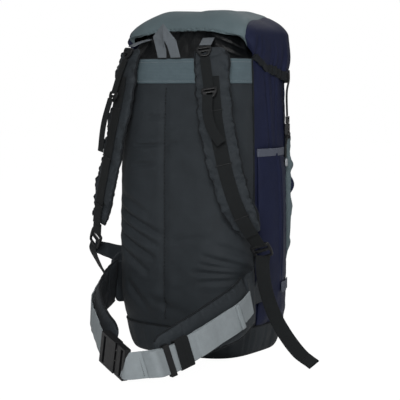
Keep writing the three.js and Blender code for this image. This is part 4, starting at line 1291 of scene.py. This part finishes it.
def harness(pads):
    """Everything on the shoulder straps: webbing, locks, tabs, tails and load lifters."""
    for name, spec in HARNESS.items():
        side = spec["side"]
        obj, shape, columns, path, across, out, t = pads[name]
        yaw = np.radians(spec["yaw"]) * side
        up = np.array([np.cos(yaw), np.sin(yaw), 0.0])
        for end, column in zip(("inner", "outer"), columns):
            edge_binding(f"shoulder_binding_{end}_{name}", obj, shape, column, "pack")
        finer(obj)
        web = t > 0.16
        lift = PAD_THICK / 2 + 0.0032 + 0.0005 * np.sin(t[web] * 42)
        strip_piece(f"shoulder_webbing_band_{name}", path[web], across[web], out[web], STRAP_WEB, WEB, "pack",
                    "black_webbing", black_webbing, f"shoulder_webbing_{name}", lift=lift)
        for i, at_t in enumerate((0.34, 0.62, 0.885)):
            k = int(at_t * (PAD_ROWS - 1))
            span = np.linspace(-0.0165, 0.0165, 14)[:, None]
            line = path[k] + across[k] * span + out[k] * (PAD_THICK / 2 + 0.0046)
            tack = lay(f"bartack_{name}_{i}", tube(line, 0.0012, 6), wrap=True, ends=True)
            finish(tack, "pack", "black_webbing", black_thread)
        strap_end(name, spec, path, up)
        lifter(name, spec, up)


def strap_end(name, spec, path, up):
    """The adjuster at the strap's lower end, its anchor tab and its free tail."""
    at = spec["lock"]
    along = unit(at - path[-1])
    across = unit(up - along * np.dot(up, along))
    out = np.cross(along, across)
    start = at - along * STRAP_WEB / 2
    body = f"lock_{name}"
    lock = plate(f"strap_lock_frame_{name}", lock_outline(STRAP_WEB), 0.0050, 0.0012,
                 place_at(start, across, along, out))
    finish(lock, body, "hardware", plastic, f"strap_lock_{name}")
    teeth(f"lock_teeth_{name}", start + along * STRAP_WEB * 0.41, across, along, out,
          STRAP_WEB * 0.9, 3, body)
    tab_path = curve(spec["tab"], 30)
    s = np.linspace(0, 1, 30)
    tab_up = np.array([spec["side"] * 0.25, 0.5, 0.8])
    _, c, o = axes(tab_path, tab_up)
    wrinkle = swell(np.stack([s * 0.1, s * 0, s * 0], -1), 0.012, 5) * 0.0012 * np.sin(np.pi * s)
    strip_piece(f"anchor_tab_cloth_{name}", tab_path, c, o, STRAP_WEB + (0.046 - STRAP_WEB) * s, 0.0026,
                "pack", "black_nylon", black_nylon, f"anchor_tab_{name}", lift=wrinkle)
    tail = curve(spec["tail"], 90)
    s = np.linspace(0, 1, 90)
    a, c, o = axes(tail, up)
    twist = np.radians(14) * np.sin(s * np.pi * 1.3)[:, None]
    c, o = c * np.cos(twist) + o * np.sin(twist), o * np.cos(twist) - c * np.sin(twist)
    strip_piece(f"strap_tail_webbing_{name}", tail, c, o, STRAP_WEB, WEB, body, "black_webbing",
                black_webbing, f"strap_tail_{name}")
    hem = tail[-9:] - a[-1] * 0.001
    strip_piece(f"strap_tail_hem_{name}", hem, c[-9:], o[-9:], STRAP_WEB + 0.0006, 0.0038, body,
                "black_webbing", black_webbing)
    feed = curve([path[-2] + out * 0.0075, (path[-1] + start) / 2 + out * 0.0040, start + along * 0.004], 14)
    _, c, o = axes(feed, up)
    strip_piece(f"strap_feed_{name}", feed, c, o, STRAP_WEB, WEB, "pack", "black_webbing", black_webbing)


def lifter(name, spec, up):
    """A load lifter: grey anchor, pointed lock, webbing, lower lock and tail."""
    s = spec["side"]
    anchor = curve(mm([[s * 74, -93, 642], [s * 84, -112, 636], [s * 92, -131, 627]]), 24)
    lean = np.array([np.cos(np.radians(20)), np.sin(np.radians(20)) * s, 0.0])
    _, c, o = axes(anchor, lean)
    strip_piece(f"lifter_anchor_webbing_{name}", anchor, c, o, LIFT_WEB + 0.004, WEB, "pack", "grey_webbing",
                handle_grey, f"lifter_anchor_{name}")
    top, low = mm([s * 95, -139, 614]), spec["lift_lock"]
    along = unit(low - top)
    across = unit(up - along * np.dot(up, along))
    out = np.cross(along, across)
    if out[1] > 0:
        out = -out
    for part, at, replaced in (("upper", top - along * 0.008, "lifter_ring_"),
                               ("lower", low, "lifter_lock_")):
        lock = plate(f"lifter_{part}_lock_{name}", point_outline(LIFT_WEB), 0.0046, 0.0011,
                     place_at(at, across, along, np.cross(across, along)))
        finish(lock, "pack", "hardware", plastic, replaced + name)
    line = curve([top + along * 0.0135 + out * 0.0012, (top + low) / 2 + out * 0.0026, low + along * 0.001
                  + out * 0.0012], 30)
    _, c, o = axes(line, up)
    strip_piece(f"lifter_webbing_band_{name}", line, c, o, LIFT_WEB, WEB, "pack", "black_webbing",
                black_webbing, f"lifter_webbing_{name}")
    tail = curve(spec["lift_tail"], 40)
    _, c, o = axes(tail, up)
    t = np.linspace(0, 1, 40)
    strip_piece(f"lifter_tail_band_{name}", tail, c, o, LIFT_WEB, WEB, "pack", "black_webbing", black_webbing,
                f"lifter_tail_{name}", lift=0.0016 * np.sin(t * 5) * t)


def grab_handle():
    """One strip of webbing folded into a pointed loop: a grid between the loop's outer and inner edge."""
    outer = bent(mm([[-20, 0, -4], [-34, 0, 39], [-8, 0, 65], [27, 0, 30], [36, 0, -4]]), 90)
    inner = bent(mm([[1.5, 0, -4], [-1.5, 0, 18], [1.5, 0, 31], [6.5, 0, 18], [12, 0, -4]]), 90)
    t = np.linspace(0, 1, 90)
    middle = (outer + inner) / 2 + mm([4, 0, 0])
    apex = np.exp(-((t - 0.48) / 0.17) ** 2)
    middle[:, 1] = -0.1415 + 0.0022 * np.sin(t * 2 * np.pi) - 0.0035 * apex
    middle[:, 2] += 0.607
    across = outer - inner
    width = np.linalg.norm(across, axis=1)
    across = unit(across + np.stack([0 * t, 0.30 * apex * width, 0 * t], -1))
    out = unit(np.cross(across, np.gradient(middle, axis=0)))
    out *= -np.sign(out[:, 1:2])
    fold = 0.0016 * np.exp(-((t - 0.31) / 0.025) ** 2) + 0.0016 * np.exp(-((t - 0.66) / 0.025) ** 2)
    strip_piece("handle_webbing", middle, across, out, width, 0.0024 + fold, "handle", "grey_webbing",
                handle_grey, "grab_handle")


def bent(corners, count):
    """A line with slightly softened corners: straight runs read at equal distances, then averaged."""
    length = np.concatenate([[0], np.cumsum(np.linalg.norm(np.diff(corners, axis=0), axis=1))])
    at = np.linspace(0, length[-1], count)
    line = np.stack([np.interp(at, length, corners[:, i]) for i in range(3)], axis=1)
    middle = (line[:-2] + line[1:-1] * 2 + line[2:]) / 4
    return np.vstack([line[:1], middle, line[-1:]])


# ---- hip belt --------------------------------------------------------------------------------

WING_HEIGHT, WING_THICK = 0.100, 0.013
WING_ROWS = 160
BELT_OFF = 0.0052                # the webbing's height off the pad where it leaves it
KEEPER_AT = 0.715                # the keeper's share along the left wing's path
BELT_WEB, BELT_THICK, GAP = 0.050, 0.0022, 0.0006
BELT = {
    "left": {"side": -1, "end": 0.86,
             "path": mm([[168, -90, 126], [178, -150, 108], [170, -215, 92], [153, -290, 72], [128, -346, 54],
                         [95, -366, 41]])},
    "right": {"side": 1, "end": 0.98,
              "path": mm([[-168, -90, 136], [-152, -150, 118], [-118, -212, 100], [-72, -262, 86],
                          [-22, -302, 74], [30, -330, 62]])},
}


def wing_frame(spec, count=WING_ROWS):
    """Shares along a wing's path, the path, and its along, across and out at each point."""
    t = np.linspace(0, 1, count)
    path = curve(spec["path"], count)
    up = np.stack([spec["side"] * 0.2 * (1 - t), 0.15 * t, np.ones(count)], axis=1)
    along, across, out = axes(path, up, spec["side"])
    return t, path, along, across, out


def belt_lift(t):
    """The webbing's height off the middle of the wing."""
    stand = eased(((0, GAP), (0.3, GAP), (0.5, BELT_OFF), (1, BELT_OFF)), t, 0.02)
    return WING_THICK / 2 + stand + BELT_THICK / 2


def belt_slope(t):
    """The webbing's place across the wing: a table of shares and metres, with its corners rounded."""
    return eased(((0, -0.002), (0.5, -0.008), (0.8, -0.016), (1, -0.006)), t, 0.03)


def wings():
    """The padded wings of the hip belt, with the root of each sewn into the bag's seam."""
    made = {}
    for name, spec in BELT.items():
        t, path, along, across, out = wing_frame(spec)
        end = spec["end"]
        inside = t <= end
        share = t[inside] / end
        width = WING_HEIGHT * eased(((0, 1), (0.3, 0.98), (0.75, 0.78), (0.94, 0.64), (1, 0.42)), share, 0.02)
        obj, shape, held, columns = pad(f"hip_wing_cloth_{name}", path[inside], across[inside], out[inside],
                                        width * 0.985, WING_THICK * 0.92, 56, 0.0009, 80 + spec["side"], 5)
        settle_later(obj, held, 3.0, 0.02, 0.0010)
        finish(obj, f"wing_{name}", "padding", black_nylon, f"hip_wing_{name}")
        made[name] = (obj, shape, columns, t, path, along, across, out)
    return made


def wing_roots(made):
    """Cloth that joins each wing to the bag's side seam."""
    for name, spec in BELT.items():
        path = made[name][4]
        s = -spec["side"]
        seam_z = path[0, 2] + 0.006
        seam = on_bag(s * 70.0, seam_z, 0.004)
        line = curve([seam, (seam + path[0]) / 2 + np.array([s * 0.006, 0, 0]), path[0], path[4]], 30)
        up = np.tile([0.0, 0.0, 1.0], (30, 1))
        _, c, o = axes(line, up, spec["side"])
        share = np.linspace(0, 1, 30)
        root, _, _, _ = pad(f"wing_root_{name}", line, c, o, 0.118 - 0.020 * share,
                                            0.004 + 0.0082 * step(share, 0, 0.8), 40, 0.0010, 90, 2)
        root.data.materials.append(black_nylon)
        finer(root)
        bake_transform(root)


def belts(made):
    """Webbing on the wings, its doubled tail, the keeper, the triglide and the buckle."""
    for name, spec in BELT.items():
        obj, shape, columns = made[name][:3]
        for edge, column in zip(("lower", "upper"), columns):
            edge_binding(f"wing_binding_{edge}_{name}", obj, shape, column, f"wing_{name}", 0.0024)
        finer(obj)
    t, path, along, across, out = made["left"][3:]
    use = (t >= 0.03) & (t <= 0.95)
    ripple = 0.0004 * np.sin(t * 60)
    root_lift = 0.0016 * step(t, 0.14, 0.07)
    laid = path + out * (belt_lift(t) + ripple + root_lift)[:, None] + across * belt_slope(t)[:, None]
    line = curve(np.vstack([laid[use][::9], mm([[93, -384.5, 37.5], [84, -381, 39.5]])]), 170)
    _, c, o = axes(line, np.array([-0.05, 0.15, 1.0]), -1)
    strip_piece("belt_webbing_band_left", line, c, o, BELT_WEB, BELT_THICK, "wing_left", "grey_webbing",
                belt_grey, "belt_webbing_left")
    use = (t >= 0.2) & (t <= 0.93)
    layer = BELT_THICK + GAP
    bulge = 0.0115 * np.exp(-((t - 0.874) / 0.026) ** 2) + 0.0016 * np.sin((t - 0.2) * 14) * (t < 0.60)
    fold = layer * step(t, 0.930, 0.905)
    strip_piece("belt_tail_band", path[use], across[use], out[use], BELT_WEB, BELT_THICK, "wing_left",
                "grey_webbing", belt_grey, "belt_tail_left", lift=(belt_lift(t) + fold + np.abs(bulge))[use],
                shift=(belt_slope(t) - 0.001)[use])
    use = (t >= 0.2) & (t <= 0.235)
    strip_piece("belt_tail_hem", path[use], across[use], out[use], BELT_WEB + 0.0006, 0.0046, "wing_left",
                "grey_webbing", belt_grey, lift=(belt_lift(t) + layer + 0.0022)[use],
                shift=(belt_slope(t) - 0.001)[use])
    for i, (at_t, lift) in enumerate(((0.245, layer + 0.0016), (0.945, 0.0012))):
        k = int(at_t * (WING_ROWS - 1))
        span = np.linspace(-0.022, 0.022, 24)[:, None]
        line = path[k] + across[k] * (span + belt_slope(t)[k]) + out[k] * (belt_lift(t)[k] + lift)
        row = stitches(f"belt_stitch_{i}", line, np.tile(out[k], (24, 1)), 0.0026, 0.0034, 0.0005)
        finish(row, "wing_left", "grey_webbing", black_thread)
    keeper(t, path, along, across, out)
    moulded("belt_triglide", "triglide", plastic, 0.0010)
    belt_right(made["right"])
    for node, body in (("hip_buckle_guide", "wing_left"), ("hip_buckle_housing", "wing_right"),
                       ("hip_prong_upper", "prong_upper"), ("hip_prong_lower", "prong_lower")):
        moulded(node, body, plastic, 0.0014)


def keeper(t, path, along, across, out):
    """The elastic keeper: a band wrapped round both layers of the belt's webbing."""
    k = int(KEEPER_AT * (WING_ROWS - 1))
    layers = 2 * BELT_THICK + GAP
    lift = WING_THICK / 2 + BELT_OFF + layers / 2
    half, room = BELT_WEB / 2 + 0.0032, layers / 2 + 0.0030
    ring = rounded([(-half, -room), (half, -room), (half, room), (-half, room)], 0.0030, 6)
    centre = path[k] + out[k] * lift + across[k] * belt_slope(t)[k]
    loop = centre + across[k] * ring[:, :1] + out[k] * ring[:, 1:]
    turned = unit(np.roll(loop, -1, axis=0) - np.roll(loop, 1, axis=0))
    outward = unit(np.cross(turned, np.broadcast_to(along[k], loop.shape)))
    outward *= np.sign(np.sum(outward * (loop - centre), axis=1).mean())
    sideways = np.broadcast_to(along[k], loop.shape)
    grid = strip(loop, sideways, outward, 0.031, 0.0018)
    grid = np.concatenate([grid, grid[:1]])
    band = closed_loop(lay("keeper_band", grid, wrap=True))
    finish(band, "keeper", "black_webbing", black_webbing, "belt_keeper")


def belt_right(made):
    """The fixed webbing on the right wing, which leaves the pad for the buckle."""
    t, path, _, _, out = made[3:]
    ends = [int(q * (WING_ROWS - 1)) for q in (0.04, 0.18, 0.32, 0.46, 0.6, 0.7)]
    points = [path[k] + out[k] * belt_lift(t)[k] for k in ends] + [mm([-4, -337, 60])]
    line = curve(points, 120)
    up = np.tile([0.0, 0.06, 1.0], (120, 1))
    _, c, o = axes(line, up, 1)
    strip_piece("belt_webbing_band_right", line, c, o, BELT_WEB, BELT_THICK, "wing_right", "grey_webbing",
                belt_grey, "belt_webbing_right", lift=0.0004 * np.sin(np.linspace(0, 1, 120) * 50))


# ---- hidden structure and the rest -------------------------------------------------------------

def structure():
    """Foam, frame sheet and stays inside the back, and a cloth sleeve that covers them from the inside."""
    for node, material in (("back_foam", foam), ("frame_sheet", sheet_plastic), ("frame_stay_left", alloy),
                           ("frame_stay_right", alloy)):
        nodes[node].data.materials.clear()
        nodes[node].data.materials.append(material)
    degrees, z, u, _ = bag_grid((-52, 52), (0.072, 0.598), 61, 81)
    slack = swell(np.stack([u * 0.4, z, z * 0], -1), 0.06, 71) * 0.0015
    lining = lay("frame_sleeve", on_bag(degrees, z, -0.0225 + slack), outward=False)
    walled(lining, 0.0008)
    finish(lining, "pack", "black_nylon", black_nylon)


studio()
sewn_panels()
base()
collar()
yoke()
side_pockets()
pocket, pocket_shape = front_pocket()
lid()
lid_straps()
shoulder = shoulder_pads()
hips = wings()
settle_all()
front_pocket_trim(pocket, pocket_shape)
harness(shoulder)
grab_handle()
wing_roots(hips)
belts(hips)
structure()
